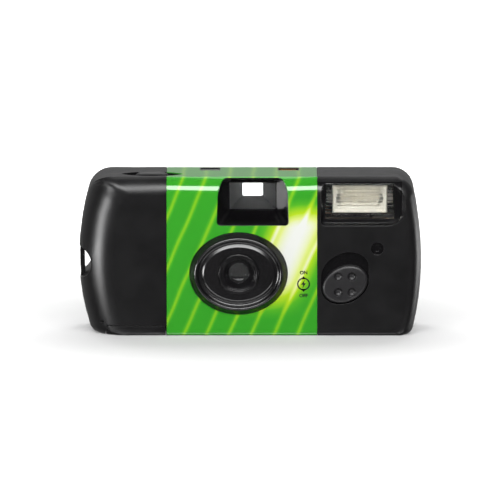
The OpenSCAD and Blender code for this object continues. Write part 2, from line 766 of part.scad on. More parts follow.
module rear_cover() {
    pad = 1.2;
    eye_bevel = 1.4;
    ring_z0 = wheel_z0 - slit;
    color(black) difference() {
        union() {
            difference() {
                skin(rear_rings(0, seam_y));
                skin(rear_rings(wall, seam_y - 1));
            }
            intersection() {
                skin(rear_rings(0.2, seam_y));
                rod_z(cassette_x, scoop_y, scoop_r + pad, shelf_z, top_in + touch);
            }
            eyelet_wall(rear_rings(wall / 2, seam_y));
            for (z = [film_z0 + 2, film_z1 - 3])
                box(lens_x - gate_w / 2, lens_x + gate_w / 2, film_y + film_t + 0.2, rear_in + touch,
                    z, z + 1);
        }
        label_recess();
        rod_z(cassette_x, scoop_y, scoop_r, ring_z0, body_h + 1);
        rod_z(cassette_x, cassette_y, wheel_r + 0.4, ring_z0, wheel_z1 + slit);
        front_extrude(rear_in - 1, rear_y + 1)
            rounded_rect(finder_x, (eyepiece_z0 + eyepiece_z1) / 2, eyepiece_w, eyepiece_h, 0.5);
        skin([lay(rounded(trapezoid(finder_x, eyepiece_w, eyepiece_w, eyepiece_z0, eyepiece_z1),
                [0.5, 0.5, 0.5, 0.5]), rear_in + 0.4),
            lay(rounded(trapezoid(finder_x, eyepiece_w + 2 * eye_bevel, eyepiece_w + 2 * eye_bevel,
                eyepiece_z0 - eye_bevel, eyepiece_z1 + eye_bevel), [1, 1, 1, 1]), rear_y + touch)]);
        up_extrude(top_in - 1, body_h + 1) {
            rounded_rect(counter_x, counter_y, counter_w, counter_l, 1);
            rounded_rect(pilot_x, pilot_y, pilot_w, pilot_l, 1);
        }
        eyelet_notch();
        door_room(door_gap, -1);
        door_knuckle(door_gap);
        box(cassette_x - knuckle_l / 2 - door_gap, cassette_x + knuckle_l / 2 + door_gap, hinge_y, rear_y + 1,
            -1, hinge_z);
        rod_x(hinge_y, hinge_z, stub_r + fit, cassette_x - knuckle_l / 2 - stub_l - slit,
            cassette_x + knuckle_l / 2 + stub_l + slit);
    }
}

module tunnel(grow, front, rear) {
    nose = tunnel_half - frame_wall + grow;
    skin([lay(trapezoid(lens_x, 2 * nose, 2 * nose, lens_z - nose, lens_z + nose), front),
        lay(trapezoid(lens_x, gate_w + 2 * grow, gate_w + 2 * grow, film_mid - gate_h / 2 - grow,
            film_mid + gate_h / 2 + grow), rear)]);
}
module chamber_wall(x, y, r, a0, a1, z0, z1) {
    up_extrude(z0, z1) translate([x, y]) intersection() {
        difference() {
            circle(r + frame_wall);
            circle(r);
        }
        polygon(concat([[0, 0]],
            [for (i = [0:4]) let (a = mix(a0, a1, i / 4)) 2 * r * [cos(a), sin(a)]]));
    }
}
module main_frame() {
    gate_left = lens_x - gate_w / 2;
    gate_right = lens_x + gate_w / 2;
    rail = 2.2;
    web_share = (supply_y - base_back) / (gate_front - base_back);
    web_left = lens_x + mix(tunnel_half, gate_w / 2 + frame_wall, web_share) - frame_wall / 2;
    ear_t = 0.9;
    ear_in = 1.3;
    post_r = 1.2;
    color(inner_black) difference() {
        union() {
            difference() {
                union() {
                    tunnel(frame_wall, base_back, gate_front + touch);
                    box(gate_left - rail, gate_right + rail, gate_front, gate_back, wall, gate_top);
                }
                tunnel(0, base_back - touch, gate_back + touch);
            }
            chamber_wall(cassette_x, cassette_y, chamber_r, 205, 332, cassette_z0 + 1.4, deck_z1);
            box(deck_left - 1.4, blade_x + 1, partition_y, partition_y + frame_wall,
                battery_top + 0.6, deck_z1);
            chamber_wall(supply_x, supply_y, supply_r, 175, 365, wall, supply_z1);
            rod_z(supply_x, supply_y, supply_out - slit, wall, supply_floor);
            rod_z(supply_x, supply_y, pin_r, wall, film_z0 + 4);
            difference() {
                rod_z(supply_x, supply_y, supply_out - slit, supply_z1 - touch, supply_z1 + frame_wall);
                box(supply_x - far, supply_x + far, film_y - 1, film_y + far,
                    supply_z1 - 1, supply_z1 + 2);
            }
            box(web_left, supply_x - supply_r - touch, supply_y, supply_y + frame_wall, wall, gate_top);
            box(supply_x + spool_flange_r + slit, capacitor_x + capacitor_r - 1.2,
                capacitor_y - 4, capacitor_y + 4, wall, capacitor_z0);
            for (z = [board_z0 + 6, board_z1 - 6])
                rod_y(supply_x, z, 1.5, board_y1, supply_y - supply_r - touch);
            box(deck_left, deck_right, deck_front, gate_back, deck_z0, deck_z1);
            for (y = [deck_front, button_y + ear_in])
                box(release_x - 1, release_x + 1, y, y + ear_t + touch,
                    deck_z0, release_z + release_t / 2 + 1.2);
            rod_z(drive_x, drive_y, post_r, deck_z0, drive_z + drive_t + slit);
            rod_z(counter_x, dial_y, post_r, deck_z0, dial_z0 + dial_t + slit / 2);
        }
        rod_y(release_x, release_z + release_t / 2, 0.7 + fit, deck_front - 1, button_y + 4);
        rod_z(sprocket_x, sprocket_y, shaft_r + fit, deck_z0 - 1, deck_z1 + 1);
        box(sprocket_x - sprocket_r - slit, sprocket_x + sprocket_r + slit, gate_front - 1, gate_back + 1,
            sprocket_z - sprocket_t / 2 - slit, sprocket_z + sprocket_t / 2 + slit);
        rod_z(supply_x, supply_y, core_r + slit, supply_z1 - 1, supply_z1 + 2);
    }
}

module wrap_label() {
    color("#3caa2d") difference() {
        side_extrude(label_left, label_right) difference() {
            polygon(section(label_sink));
            polygon(section(label_depth));
        }
        front_extrude(front_y - 1, 0) dish_outline(label_gap + touch);
        intersection() {
            finder_well(label_gap);
            box(-half_w, half_w, front_y - 1, 0, 0, body_h);
        }
        front_extrude(rear_y - 1, rear_y + 1) rounded_rect(finder_x, (eyepiece_z0 + eyepiece_z1) / 2,
            eyepiece_w + 2.8 + 2 * label_gap, eyepiece_h + 2.8 + 2 * label_gap, 1);
        up_extrude(body_h - 1, body_h + 1) {
            eye_outline(label_gap);
            rounded_rect(counter_x, counter_y, counter_w + 2 * label_gap, counter_l + 2 * label_gap, 1);
            rounded_rect(pilot_x, pilot_y, pilot_w + 2 * label_gap, pilot_l + 2 * label_gap, 1);
        }
        rod_z(cassette_x, cassette_y, door_r + 2 * door_gap, -1, wall);
    }
}

// Oval dish: a floor, a moat round it and a rounded rim, with a hidden flange behind the cover
module lens_panel() {
    rim_y = front_y - lens_proud;
    flange_w = 1.5;
    steps = 6;
    flank = 150;
    moat = dish_rim - bank_w;
    crest = moat - hollow_w - rim_round;
    bank = [for (k = [0:steps - 1]) let (s = k / steps)
        [dish_rim - bank_w * s, rim_y + dish_floor + moat_d * (1 - cos(180 * s)) / 2]];
    hollow = [for (k = [0:steps]) let (a = 90 * k / steps)
        [moat - hollow_w * sin(a), rim_y + mix(rim_round, dish_floor + moat_d, cos(a))]];
    crown = [for (k = [1:steps]) let (a = flank * k / steps)
        [crest + rim_round * cos(a), rim_y + rim_round * (1 - sin(a))]];
    foot = [[0, front_y - slit], [0, front_in], [-flange_w, front_in], [-flange_w, lens_back]];
    profile = concat(bank, hollow, crown, foot);
    color(black) difference() {
        skin([for (p = profile) lay(oval(lens_x, lens_z, dish_w / 2 - p[0], dish_h / 2 - p[0]), p[1])]);
        rod_y(lens_x, lens_z, lens_hole_r, rim_y - 1, lens_back + 1);
    }
}
module lens_ring() {
    face = -(front_y - lens_proud + dish_floor) + 0.5;
    step = 0.5;
    color(black) lens_turn() polygon([[lens_open_r, -lens_seat + 0.8], [5, face - 2 * step], [5, face - step],
        [5.5, face - step], [5.9, face], [ring_r - 0.25, face], [ring_r, face - 0.25], [ring_r, -lens_back],
        [ring_flange_r, -lens_back], [ring_flange_r, -ring_back], [lens_r + touch, -ring_back],
        [lens_r + touch, -lens_seat], [lens_open_r, -lens_seat]]);
}
module taking_lens() {
    dome = 0.6;
    dome_r = (pow(lens_open_r - touch, 2) + pow(dome, 2)) / (2 * dome);
    color(clear) lens_turn() {
        translate([0, -lens_seat - lens_edge]) square([lens_r, lens_edge]);
        intersection() {
            translate([0, -lens_seat + dome - dome_r]) circle(dome_r);
            translate([0, -lens_seat - touch]) square([lens_open_r, dome + 1]);
        }
    }
}
module aperture_plate() {
    color(inner_black) lens_turn() translate([aperture_r, -aperture_back])
        square([ring_flange_r - aperture_r, aperture_t]);
}
module shutter_base() {
    base_w = 12;
    color(inner_black) {
        difference() {
            box(blade_x - 3.4, lens_x + base_w, base_front, base_back, battery_top + 0.4, blade_z + 5.3);
            rod_y(lens_x, lens_z, 3.2, base_front - 1, base_back + 1);
        }
        rod_y(blade_x, blade_z, blade_pin_r, blade_y0 - 0.2, base_front + touch);
    }
}
module shutter_blade() {
    arm = 1.8;
    color("#3a3a3d") front_extrude(blade_y0, blade_y1) difference() {
        union() {
            translate([blade_x, blade_z]) circle(2.2);
            translate([lens_x, lens_z]) circle(blade_r);
            hull() {
                translate([blade_x, blade_z]) circle(arm, $fn = hull_sides);
                translate([lens_x, lens_z]) circle(arm, $fn = hull_sides);
            }
            translate([blade_x - 0.5, blade_z]) square([1, tail_h]);
        }
        translate([blade_x, blade_z]) circle(blade_pin_r + fit);
    }
}
module drive_lever() {
    tail = [-2, 4.7];
    color("#e4e2da") {
        difference() {
            up_extrude(drive_z, drive_z + drive_t) {
                translate([drive_x, drive_y]) circle(2.4);
                hull() {
                    translate([drive_x, drive_y]) circle(1.6, $fn = hull_sides);
                    translate([finger_x, finger_y0 + 1.2]) circle(0.8, $fn = hull_sides);
                }
                hull() {
                    translate([drive_x, drive_y]) circle(1.6, $fn = hull_sides);
                    translate([drive_x, drive_y] + tail) circle(0.8, $fn = hull_sides);
                }
            }
            rod_z(drive_x, drive_y, 1.2 + fit, drive_z - 1, drive_z + drive_t + 1);
        }
        box(finger_x - 0.8, finger_x + 0.5, finger_y0, finger_y0 + 1.2, blade_z + 6.4, drive_z + drive_t);
    }
}
// Torsion coil under the drive lever
module drive_spring() {
    wire = 0.22;
    coil_r = 1.9;
    turns = 1.7;
    pitch = 0.92;
    rings = 30;
    sides = 8;
    function at(t) = let (a = 360 * turns * t)
        [drive_x + coil_r * cos(a), drive_y + coil_r * sin(a), turns * pitch * t];
    color(metal) translate([0, 0, deck_z1 + wire + touch])
        skin([for (k = [0:rings]) let (t = k / rings, a = 360 * turns * t, p = at(t))
            [for (i = [0:sides - 1]) let (b = -360 * i / sides)
                p + wire * (cos(b) * [cos(a), sin(a), 0] + sin(b) * [0, 0, 1])]]);
}
module release_lever() {
    left_end = button_x - 1.2;
    right_end = drive_x - 2.1;
    hook_h = release_z - drive_z - drive_t - 0.4;
    pin_z = release_z + release_t / 2;
    color("#e4e2da") {
        box(left_end, right_end, button_y - 1, button_y + 1, release_z, release_z + release_t);
        box(right_end - 1, right_end, button_y - 1, button_y + 1, release_z - hook_h, release_z + touch);
        rod_y(release_x, pin_z, 1.3, button_y - 1, button_y + 1);
        rod_y(release_x, pin_z, 0.7, deck_front + touch, button_y + 2.2);
    }
}
// Button with a crowned top, a skirt that is open over the release lever, and a foot on the lever
module shutter_button() {
    crown_z = body_h + button_proud;
    crown = [[0, 1.5], [0.35, 1], [0.9, 0.6], [1.7, 0.25], [2.6, 0.06], [3.2, 0]];
    rings = concat([[0, flange_z + 0.75]], [for (c = crown) [c[0], crown_z - c[1]]]);
    color(black) {
        rotate([90, 0, 0]) skin([for (r = rings) lay(
            oval(button_x, -button_y, button_l / 2 - r[0], button_w / 2 - r[0]), r[1])]);
        up_extrude(flange_z, top_in - touch) difference() {
            button_outline(0.8);
            translate([button_x + 1.4, button_y - 1.4]) square([far, 2.8]);
        }
        rod_z(button_x, button_y, 1, button_foot, flange_z + touch);
    }
}
module counter_dial() {
    notches = 30;
    color("#f2f2ee") difference() {
        union() {
            rod_z(counter_x, dial_y, dial_r, dial_z0, dial_z0 + dial_t);
            rod_z(counter_x, dial_y, 4.5, finger_z, dial_z0 + touch);
        }
        rod_z(counter_x, dial_y, 1.2 + fit, finger_z - 1, dial_z0 + 2);
        for (i = [0:notches - 1])
            translate([counter_x, dial_y, finger_z - 1]) rotate(360 * i / notches)
                translate([4.2, -0.2]) cube([1, 0.4, 1 + dial_z0 - finger_z]);
    }
}
module counter_window() {
    color(clear) {
        up_extrude(top_in - touch, body_h - slit)
            rounded_rect(counter_x, counter_y, counter_w - 0.2, counter_l - 0.2, 0.9);
        up_extrude(top_in - window_flange, top_in)
            rounded_rect(counter_x, counter_y, counter_w + 1.4, counter_l - 0.2, 0.9);
    }
}

module finder_front_lens() {
    color(clear) box(panel_left - finder_wall, panel_right + finder_wall, well_back, tunnel_front,
        panel_z0 - finder_wall, tunnel_top);
}
module finder_tunnel(grow, y0, y1) {
    skin([lay(trapezoid(finder_x, panel_w + 2 * grow, panel_w + 2 * grow, panel_z0 - grow,
            tunnel_top - finder_wall + grow), y0),
        lay(trapezoid(finder_x, eyepiece_w + 2 * grow, eyepiece_w + 2 * grow, eyepiece_z0 - grow,
            eyepiece_z1 + grow), y1)]);
}
module finder_housing() {
    color(inner_black) difference() {
        finder_tunnel(finder_wall, tunnel_front, tunnel_rear);
        finder_tunnel(0, tunnel_front - touch / 10, tunnel_rear + touch / 10);
    }
}
module finder_rear_lens() {
    color(clear) box(eyepiece_left - finder_wall, eyepiece_right + finder_wall, tunnel_rear,
        rear_in - touch, eyepiece_z0 - finder_wall, eyepiece_z1 + finder_wall);
}

// Clear window with level ribs, held behind the cover by a flange at its sides and foot
module flash_window() {
    pitch = (flash_h - 2) / flash_ribs;
    ribs = [for (i = [0:flash_ribs - 1]) each [[flash_front + slit, flash_z0 + 1 + pitch * i],
        [flash_front, flash_z0 + 1 + pitch * (i + 0.3)], [flash_front, flash_z0 + 1 + pitch * (i + 0.7)]]];
    edge = [[flash_back, flash_z1], [flash_back, flash_z0], [flash_front + slit, flash_z0]];
    top = [[flash_front + slit, flash_z1 - 1], [flash_front + slit, flash_z1]];
    color(clear) {
        side_extrude(flash_left, flash_right) polygon(concat(edge, ribs, top));
        difference() {
            box(flash_left - 0.8, flash_right + 0.8, front_in, flash_back, flash_z0 - 0.8,
                top_in - top_round_h - slit);
            box(flash_left, flash_right, front_in - 1, flash_back + 1, flash_z0, flash_z1);
        }
    }
}
// Reflector trough: its mouth narrows to a flat back on a parabola
module flash_reflector() {
    steps = 5;
    sheet = 0.4;
    mid_z = flash_z1 - 0.5 - reflector_h / 2;
    function mouth(t, g) = let (s = t * t)
        trapezoid(reflector_x, mix(reflector_w, reflector_back_w, t) - 2 * g,
            mix(reflector_w, reflector_back_w, t) - 2 * g, mid_z - mix(reflector_h, 3.6, s) / 2 + g,
            mid_z + mix(reflector_h, 3.6, s) / 2 - g);
    color("#ebe8dc") difference() {
        skin([for (k = [0:steps]) lay(mouth(k / steps, 0),
            mix(flash_back, flash_back + reflector_d, k / steps))]);
        skin([for (k = [0:steps]) lay(mouth(k / steps, sheet),
            mix(flash_back - touch / 10, flash_back + reflector_d - sheet, k / steps))]);
        rod_x(tube_y, tube_z, tube_r + touch, flash_left, flash_right);
    }
}
module flash_tube() {
    color(clear) rod_x(tube_y, tube_z, tube_r, flash_left + 0.4, flash_right - 0.2);
}

module circuit_board() {
    color("#2f7a3d") box(board_left, board_right, board_y0, board_y1, board_z0, board_z1);
}
module flash_capacitor() {
    color("#26262a") difference() {
        rod_z(capacitor_x, capacitor_y, capacitor_r, capacitor_z0, capacitor_z0 + capacitor_h);
        translate([capacitor_x, capacitor_y, capacitor_z0 + 2]) rotate_extrude()
            translate([capacitor_r + 0.2, 0]) circle(0.6);
    }
}
module transformer() {
    core = [10, 4.6, 9];
    color("#6b5a3a") translate([board_right - core.x - 1.4, board_y1, board_z0 + 6]) {
        cube([core.x, core.y, 1.6]);
        translate([0, 0, core.z - 1.6]) cube([core.x, core.y, 1.6]);
        translate([core.x / 2, core.y / 2, 1]) cylinder(r = core.y / 2 - 0.1, h = core.z - 2);
    }
}
module trigger_coil() {
    coil_r = 2.2;
    coil_l = 7;
    coil_top = board_z1 - 0.9;
    color("#b5651d") rod_z(board_left + coil_r - slit, board_y1 + coil_r + touch / 2, coil_r,
        coil_top - coil_l, coil_top);
}
module pilot_lamp() {
    lamp_r = 2;
    lamp_y = gate_front - lamp_r;
    color("#e8a03a") {
        rod_z(pilot_x - 0.6, lamp_y, lamp_r, gate_top - 4.8, gate_top - 1.4);
        translate([pilot_x - 0.6, lamp_y, gate_top - 1.4]) sphere(lamp_r);
    }
}
module sync_contact() {
    color("#c9a227") box(lens_x + 12, board_left + 3, board_y1, board_y1 + 0.3, blade_z + 1, blade_z + 4);
}
module switch_contact() {
    color("#c9a227") box(board_left + 2, board_left + 6, slider_y1 + touch, board_y0, knob_z - 2, knob_z + 8);
}
module battery() {
    nub_r = 1.9;
    nub_l = 0.9;
    color("#8a8d91") {
        rod_x(battery_y, battery_z, battery_r, battery_left, battery_left + battery_l - nub_l);
        rod_x(battery_y, battery_z, nub_r, battery_left + 1, battery_left + battery_l);
    }
}
module contact_positive() {
    x = battery_left + battery_l;
    color("#c9a227") {
        box(x, x + 0.4, battery_y - 3, battery_y + 3, battery_z - 3, battery_z + 3);
        box(x + 0.2, board_left + 1, board_y1, board_y1 + 0.4, battery_z, battery_z + 2);
    }
}
module contact_negative() {
    color("#c9a227") {
        box(battery_left - 0.5, battery_left, battery_y - 3, battery_y + battery_r + 0.4,
            wall, battery_z + 4);
        box(battery_left - 0.5, board_left - 3, battery_y + battery_r + 0.15,
            battery_y + battery_r + 1.1, wall, wall + 0.4);
    }
}

// Sheet-metal cassette with its film mouth towards the gate
module cassette_shell() {
    lip = 0.55;
    mouth_x = cassette_x + cassette_r;
    color("#d8c23a") difference() {
        union() {
            rod_z(cassette_x, cassette_y, cassette_r, cassette_z0, cassette_z1);
            box(cassette_x + 4, mouth_x, film_y - lip, film_y + film_t + lip,
                cassette_z0 + 1, cassette_z1 - 1);
        }
        rod_z(cassette_x, cassette_y, cassette_r - cassette_t,
            cassette_z0 + cassette_t, cassette_z1 - cassette_t);
        rod_z(cassette_x, cassette_y, spool_r + slit, cassette_z0 - 1, cassette_z1 + 1);
        box(cassette_x + 3, mouth_x + 1, film_y - 0.12, film_y + film_t + 0.12, film_z0 - 0.4, film_z1 + 0.4);
    }
}
module cassette_spool() {
    hub_r = 3.4;
    color("#2a2a2e") difference() {
        union() {
            rod_z(cassette_x, cassette_y, spool_r, cassette_z0 + 0.6, wheel_z0);
            rod_z(cassette_x, cassette_y, spool_r + 3, cassette_z0 + 2, cassette_z0 + 2.8);
        }
        rod_z(cassette_x, cassette_y, hub_r, wheel_z0 - 4, wheel_z0 + 1);
    }
}
module winding_wheel() {
    tooth = 0.5;
    color(black) {
        difference() {
            up_extrude(wheel_z0, wheel_z1) translate([cassette_x, cassette_y])
                polygon([for (i = [0:2 * wheel_teeth - 1])
                    let (a = 180 * i / wheel_teeth) (wheel_r - (i % 2) * tooth) * [cos(a), sin(a)]]);
            translate([cassette_x, cassette_y, wheel_z1 - 0.6]) rotate_extrude()
                translate([spool_r, 0]) square([wheel_r - spool_r - 2, 1]);
        }
        rod_z(cassette_x, cassette_y, 3.3, wheel_z0 - 3.6, wheel_z0 + touch);
    }
}
module film_strip() {
    pitch = 4.75;
    start = cassette_x + 7;
    count = floor((supply_x - start) / pitch) - 1;
    color("#7a4a2a") difference() {
        box(start, supply_x, film_y, film_y + film_t, film_z0, film_z1);
        for (i = [0:count], z = [film_z0 + 2, film_z1 - 4.8])
            translate([start + pitch * (i + 0.5), film_y - 1, z]) cube([2, 2, 2.8]);
    }
}
module supply_spool() {
    color("#2a2a2e") difference() {
        union() {
            rod_z(supply_x, supply_y, core_r, supply_floor + touch, supply_z1 + frame_wall);
            rod_z(supply_x, supply_y, spool_flange_r, spool_low, spool_low + spool_flange_t);
        }
        rod_z(supply_x, supply_y, pin_r + fit, wall, film_z0 + 5);
    }
}
module film_roll() {
    color("#7a4a2a") difference() {
        rod_z(supply_x, supply_y, roll_r, film_z0, film_z1);
        rod_z(supply_x, supply_y, core_r, film_z0 - 1, film_z1 + 1);
    }
}
// Toothed disc that the film turns, with the cocking cam and the counter finger above the deck
module film_sprocket() {
    teeth = 8;
    root_r = sprocket_r - 1.1;
    color("#e4e2da") {
        up_extrude(sprocket_z - sprocket_t / 2, sprocket_z + sprocket_t / 2)
            translate([sprocket_x, sprocket_y]) {
                circle(root_r);
                for (i = [0:teeth - 1])
                    rotate(360 * (i + 0.5) / teeth)
                        polygon(trapezoid_out(root_r - 0.5, 1.8, sprocket_r, 1));
            }
        rod_z(sprocket_x, sprocket_y, shaft_r, sprocket_z - 1.6, finger_z + 1);
        up_extrude(deck_z1 + touch, deck_z1 + 1.4) translate([sprocket_x, sprocket_y]) difference() {
            circle(3.8);
            rotate(70) translate([2.6, -0.8]) square([3, 1.6]);
        }
        up_extrude(finger_z, finger_z + 1) translate([sprocket_x, sprocket_y])
            polygon([[-1, -0.5], [2, -0.3], [2, 0.3], [-1, 0.5]]);
    }
}

// Tilted oval knob: crowned, dimpled, on a stem through its slot
module switch_knob() {
    crown = [[1.1, 0], [0.55, 0.14], [0.2, 0.4], [0, 0.8]];
    front = front_y - knob_proud;
    rings = concat([for (c = crown) [c[0], front + c[1]]], [[0, knob_floor - touch]]);
    color(black) difference() {
        union() {
            skin([for (r = rings)
                lay(oval(knob_x, knob_z, knob_a - r[0], knob_b - r[0], knob_tilt), r[1])]);
            stem_room(0, knob_floor - 0.5, slider_y0, 0);
        }
        for (x = [-0.5, 0.5], z = [-0.5, 0.5])
            translate([knob_x + x * dimple_pitch, front - dimple_r * 0.45, knob_z + z * dimple_rise])
                sphere(dimple_r * 1.1);
    }
}
// Slide behind the cover, with an arm over the film to the pilot light guide
module switch_slider() {
    z0 = knob_z - 3.3;
    color(inner_black) {
        box(slider_left, knob_x + 5, slider_y0, slider_y1, z0, z0 + 7);
        box(slider_left, slider_left + slider_w, slider_y0, slider_y1, z0, beam_z0 + beam_t);
        box(slider_left, slider_left + slider_w, slider_y0, pilot_y + pilot_l / 2 - pilot_gap,
            beam_z0, beam_z0 + beam_t);
        box(pilot_x - pilot_w / 2 + pilot_gap, slider_left + touch, pilot_y - pilot_l / 2 + pilot_gap,
            pilot_y + pilot_l / 2 - pilot_gap, beam_z0, beam_z0 + beam_t);
    }
}
module pilot_guide() {
    color("#d98a2b") up_extrude(beam_z0 + beam_t, body_h - 0.6)
        rounded_rect(pilot_x, pilot_y, pilot_w - 2 * pilot_gap, pilot_l - 2 * pilot_gap, 0.7);
}
module film_door() {
    lift = 0.2;
    color(black) {
        difference() {
            intersection() {
                union() {
                    skin(front_rings(0, seam_y));
                    skin(rear_rings(0, seam_y - touch));
                }
                door_room(0, lift);
            }
            box(-half_w, half_w, front_in, rear_y, wall - touch / 2, far);
        }
        door_knuckle(0);
        rod_x(hinge_y, hinge_z, stub_r, cassette_x - knuckle_l / 2 - stub_l,
            cassette_x + knuckle_l / 2 + stub_l);
    }
}

front_cover();
rear_cover();
main_frame();
wrap_label();
lens_panel();
lens_ring();
taking_lens();
aperture_plate();
shutter_base();
shutter_blade();
drive_lever();
drive_spring();
release_lever();
shutter_button();
counter_dial();
counter_window();
finder_front_lens();
finder_housing();
finder_rear_lens();
flash_window();
flash_reflector();
flash_tube();
circuit_board();
flash_capacitor();
transformer();
trigger_coil();
pilot_lamp();
sync_contact();
switch_contact();
battery();
contact_positive();
contact_negative();
cassette_shell();
cassette_spool();
film_strip();
supply_spool();
film_roll();
winding_wheel();
film_sprocket();
switch_knob();
switch_slider();
pilot_guide();
film_door();
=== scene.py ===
"""Looks of a single-use film camera with a built-in flash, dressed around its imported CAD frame.

Units are metres in the frame's own axes: +X to the right of the lens side, +Y to the back, +Z up.
Sizes that a maker would give in millimetres are written in millimetres and turned by MM.
"""

import json
import logging
import math
from dataclasses import dataclass, field
from enum import Enum

import bpy
import numpy as np
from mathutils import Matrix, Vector

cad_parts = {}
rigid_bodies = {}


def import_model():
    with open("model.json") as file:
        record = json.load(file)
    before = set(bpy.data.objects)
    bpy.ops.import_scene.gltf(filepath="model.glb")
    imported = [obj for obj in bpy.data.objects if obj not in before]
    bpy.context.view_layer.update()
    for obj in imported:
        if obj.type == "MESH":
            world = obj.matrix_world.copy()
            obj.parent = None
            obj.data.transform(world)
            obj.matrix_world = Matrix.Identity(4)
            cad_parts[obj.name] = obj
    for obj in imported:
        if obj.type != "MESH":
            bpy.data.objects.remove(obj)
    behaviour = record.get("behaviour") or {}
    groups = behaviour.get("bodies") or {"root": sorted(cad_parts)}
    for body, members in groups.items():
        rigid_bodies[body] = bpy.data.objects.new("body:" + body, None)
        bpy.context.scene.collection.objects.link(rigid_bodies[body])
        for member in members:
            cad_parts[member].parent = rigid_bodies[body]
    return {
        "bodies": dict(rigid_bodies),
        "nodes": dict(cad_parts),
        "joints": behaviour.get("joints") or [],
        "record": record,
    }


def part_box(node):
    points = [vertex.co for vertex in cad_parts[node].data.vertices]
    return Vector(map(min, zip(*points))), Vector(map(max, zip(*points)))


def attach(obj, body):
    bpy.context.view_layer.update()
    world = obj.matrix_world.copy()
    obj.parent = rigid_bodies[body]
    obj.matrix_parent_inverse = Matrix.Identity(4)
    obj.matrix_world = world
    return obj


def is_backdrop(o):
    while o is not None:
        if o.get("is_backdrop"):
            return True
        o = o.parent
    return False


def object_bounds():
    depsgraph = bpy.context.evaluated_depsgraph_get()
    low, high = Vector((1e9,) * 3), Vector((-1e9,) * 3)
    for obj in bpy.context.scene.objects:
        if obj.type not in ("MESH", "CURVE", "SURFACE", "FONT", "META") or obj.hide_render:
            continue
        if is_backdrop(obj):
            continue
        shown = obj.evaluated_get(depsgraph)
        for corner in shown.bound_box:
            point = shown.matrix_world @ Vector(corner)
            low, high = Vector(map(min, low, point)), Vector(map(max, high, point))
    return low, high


MM = 0.001
# Blender's noise stays mostly between the first and the last of these values.
NOISE_LOW, NOISE_MIDDLE, NOISE_HIGH = 0.3, 0.5, 0.7
LOG = logging.getLogger("scene")

Point = tuple[float, float, float]


def linear(hex_colour: str) -> tuple[float, float, float, float]:
    """Turns an sRGB hex value such as #3caa2d to linear RGBA, by the sRGB curve.

    Args:
        hex_colour: six hex digits after a hash sign.

    Returns:
        Linear red, green, blue and an alpha of 1.
    """
    srgb = np.array([int(hex_colour[i:i + 2], 16) for i in (1, 3, 5)]) / 255.0
    rgb = np.where(srgb <= 0.04045, srgb / 12.92, ((srgb + 0.055) / 1.055) ** 2.4)
    return (float(rgb[0]), float(rgb[1]), float(rgb[2]), 1.0)


def add_node(tree: bpy.types.NodeTree, kind: str, inputs: dict | None = None,
             **settings: object) -> bpy.types.Node:
    """Adds one node, sets its properties, and fills or links its inputs.

    Args:
        tree: the node tree.
        kind: the node's type name.
        inputs: input name or index to a value, or to a socket that is linked to it.
        settings: properties of the node.

    Returns:
        The new node.
    """
    node = tree.nodes.new(kind)
    for key, value in settings.items():
        setattr(node, key, value)
    for key, value in (inputs or {}).items():
        if isinstance(value, bpy.types.NodeSocket):
            tree.links.new(value, node.inputs[key])
        else:
            node.inputs[key].default_value = value
    return node


def new_material(
        name: str) -> tuple[bpy.types.Material, bpy.types.NodeTree, bpy.types.NodeSocket]:
    """Makes an empty material.

    Args:
        name: the material's name.

    Returns:
        The material, its node tree and its Object coordinates.
    """
    material = bpy.data.materials.new(name)
    material.use_nodes = True
    tree = material.node_tree
    tree.nodes.clear()
    place = add_node(tree, "ShaderNodeTexCoord").outputs["Object"]
    return material, tree, place


def finish_surface(tree: bpy.types.NodeTree, inputs: dict) -> None:
    """Adds the surface shader with these inputs and links it to the output."""
    shader = add_node(tree, "ShaderNodeBsdfPrincipled", inputs)
    add_node(tree, "ShaderNodeOutputMaterial", {"Surface": shader.outputs[0]})


def ramp(tree: bpy.types.NodeTree, value: bpy.types.NodeSocket,
         stops: tuple[tuple[float, str], ...]) -> bpy.types.NodeSocket:
    """Colours a value from 0 to 1 by a row of stops.

    Args:
        tree: the node tree.
        value: the socket that holds the value.
        stops: place from 0 to 1, and sRGB hex colour.

    Returns:
        The colour socket.
    """
    node = add_node(tree, "ShaderNodeValToRGB", {"Fac": value})
    band = node.color_ramp
    while len(band.elements) < len(stops):
        band.elements.new(0.5)
    for element, (place, colour) in zip(band.elements, stops):
        element.position = place
        element.color = linear(colour)
    return node.outputs["Color"]


@dataclass(frozen=True)
class Block:
    """A box of space, in millimetres, in which a surface is polished or printed otherwise."""

    low: Point
    high: Point
    roughness: float = 0.2

    def mask(self, tree: bpy.types.NodeTree, place: bpy.types.NodeSocket) -> bpy.types.NodeSocket:
        """Gives 1 inside the box and 0 outside: each axis runs from -1 to 1, the largest is tested.

        Args:
            tree: the node tree.
            place: Object coordinates.

        Returns:
            The mask's socket.
        """
        low, high = np.array(self.low) * MM, np.array(self.high) * MM
        offset = add_node(tree, "ShaderNodeVectorMath", {
            0: place, 1: tuple((low + high) / 2)}, operation="SUBTRACT")
        share = add_node(tree, "ShaderNodeVectorMath", {
            0: offset.outputs["Vector"], 1: tuple((high - low) / 2)}, operation="DIVIDE")
        size = add_node(tree, "ShaderNodeVectorMath", {
            0: share.outputs["Vector"]}, operation="ABSOLUTE")
        axes = add_node(tree, "ShaderNodeSeparateXYZ", {0: size.outputs["Vector"]})
        wide = add_node(tree, "ShaderNodeMath", {
            0: axes.outputs["X"], 1: axes.outputs["Y"]}, operation="MAXIMUM")
        most = add_node(tree, "ShaderNodeMath", {
            0: wide.outputs[0], 1: axes.outputs["Z"]}, operation="MAXIMUM")
        inside = add_node(tree, "ShaderNodeMath", {
            0: most.outputs[0], 1: 1.0}, operation="LESS_THAN")
        return inside.outputs[0]


